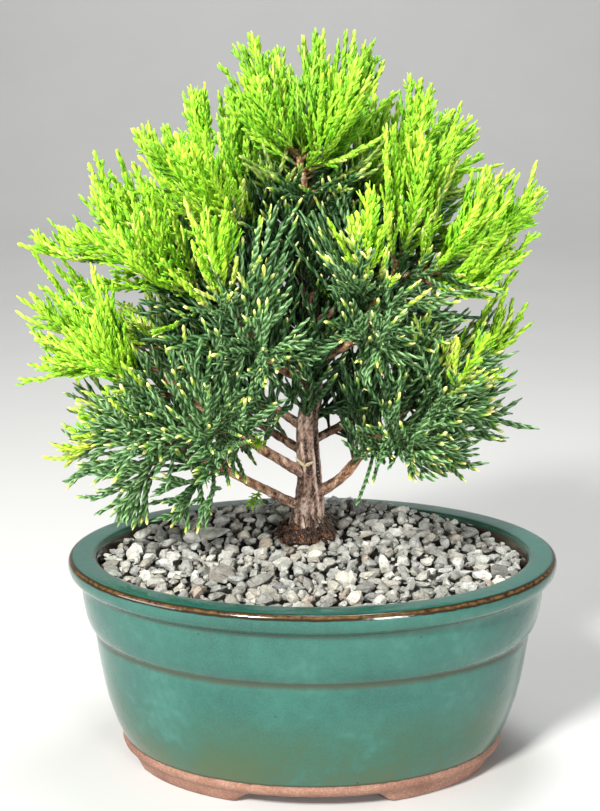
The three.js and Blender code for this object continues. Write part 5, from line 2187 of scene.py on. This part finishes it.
@dataclass
class Studio:
    """Floor, lights, sky and camera."""

    camera_place: Spot = (-5.15, -560.69, 270.03)
    pitch: float = 12.07
    focal_pixels: float = 1400.0
    picture_height: float = 811.0
    sensor: float = 36.0
    floor_sweep: float = 1.6
    floor_front: float = -5.0
    floor_back: float = 2.2
    floor_half: float = 6.0
    floor_top: float = 5.0
    sky: Colour = (0.93, 0.96, 1.0, 1.0)
    sky_strength: float = 0.08
    lamps: tuple[Lamp, ...] = (
        Lamp("key_light", (-0.50, -1.00, 0.98), (0.20, 0.20), 33.0, (1.0, 0.985, 0.95)),
        Lamp("fill_light", (0.55, -1.05, 0.26), (0.25, 0.3), 9.0, (0.98, 0.99, 1.0)),
        Lamp("side_light", (-0.95, -0.36, 0.42), (0.55, 0.30), 4.8, target=(0.0, 0.0, 0.09)),
        Lamp("top_light", (0.1, 0.25, 1.2), (0.4, 0.4), 10.0),
        Lamp("backdrop_light", (0.0, 1.2, 2.4), (3.0, 1.0), 60.0, target=(0.0, 3.4, 1.3)),
    )

    def camera(self) -> None:
        """A camera whose focal length in pixels holds over the picture's long side."""
        data = bpy.data.cameras.new("camera")
        data.sensor_fit = "AUTO"
        data.sensor_width = self.sensor
        data.lens = self.sensor * self.focal_pixels / self.picture_height
        data.clip_start, data.clip_end = 0.01, 20.0
        camera = linked("camera", data)
        camera.location = PLACE + np.array(self.camera_place) * MM
        camera.rotation_euler = (math.radians(90 - self.pitch), 0.0, 0.0)
        bpy.context.scene.camera = camera

    def floor(self) -> None:
        """A floor that sweeps up far behind the tree: flat, then a quarter round, then upright."""
        radius = self.floor_sweep
        turn = np.linspace(0, np.pi / 2, 24)
        back = self.floor_back
        y = np.concatenate([[self.floor_front], back + radius * np.sin(turn), [back + radius]])
        z = np.concatenate([[0.0], radius * (1 - np.cos(turn)), [self.floor_top]])
        rows = np.stack([np.zeros_like(y), y, z], axis=1)
        left, right = rows - (self.floor_half, 0, 0), rows + (self.floor_half, 0, 0)
        points = np.stack([right, left], axis=1).reshape(-1, 3)
        mesh = bpy.data.meshes.new("floor")
        k = np.arange(len(rows) - 1) * 2
        mesh.from_pydata(points.tolist(), [], np.stack([k, k + 2, k + 3, k + 1], axis=1).tolist())
        mesh.polygons.foreach_set("use_smooth", np.full(len(k), True))
        mesh.materials.append(FloorFinish("pale_floor", 0.7).material())
        linked("floor", mesh)

    def build(self) -> None:
        """Sets up camera, floor, lights and sky."""
        self.camera()
        self.floor()
        for lamp in self.lamps:
            lamp.build()
        world = bpy.data.worlds.new("sky")
        world.use_nodes = True
        sky = world.node_tree.nodes["Background"]
        sky.inputs["Color"].default_value = self.sky
        sky.inputs["Strength"].default_value = self.sky_strength
        bpy.context.scene.world = world
        bpy.context.scene.view_settings.view_transform = "Standard"


def dress_solids() -> None:
    """Gives the solids that stay, the soil and both screens, their finishes."""
    plastic = MeshFinish("screen_plastic", 0.5)
    finishes = {
        "soil": CrustFinish("rust_soil", 0.85), "drain_screen_left": plastic, "drain_screen_right": plastic,
    }
    for name, finish in finishes.items():
        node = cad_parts[name]
        material = finish.material()
        if not node.material_slots:
            node.data.materials.append(material)
        for slot in node.material_slots:
            slot.material = material


def main() -> None:
    """Builds the bonsai piece by piece."""
    logging.basicConfig(level=logging.INFO, format="%(message)s")
    Studio().build()
    OvalPot().build()
    GravelBed().build()
    SoilCrust().build()
    Woodwork().build()
    Crown().build()
    NeedleTufts().build()
    DeadStrands().build()
    dress_solids()


if __name__ == "__main__":
    main()
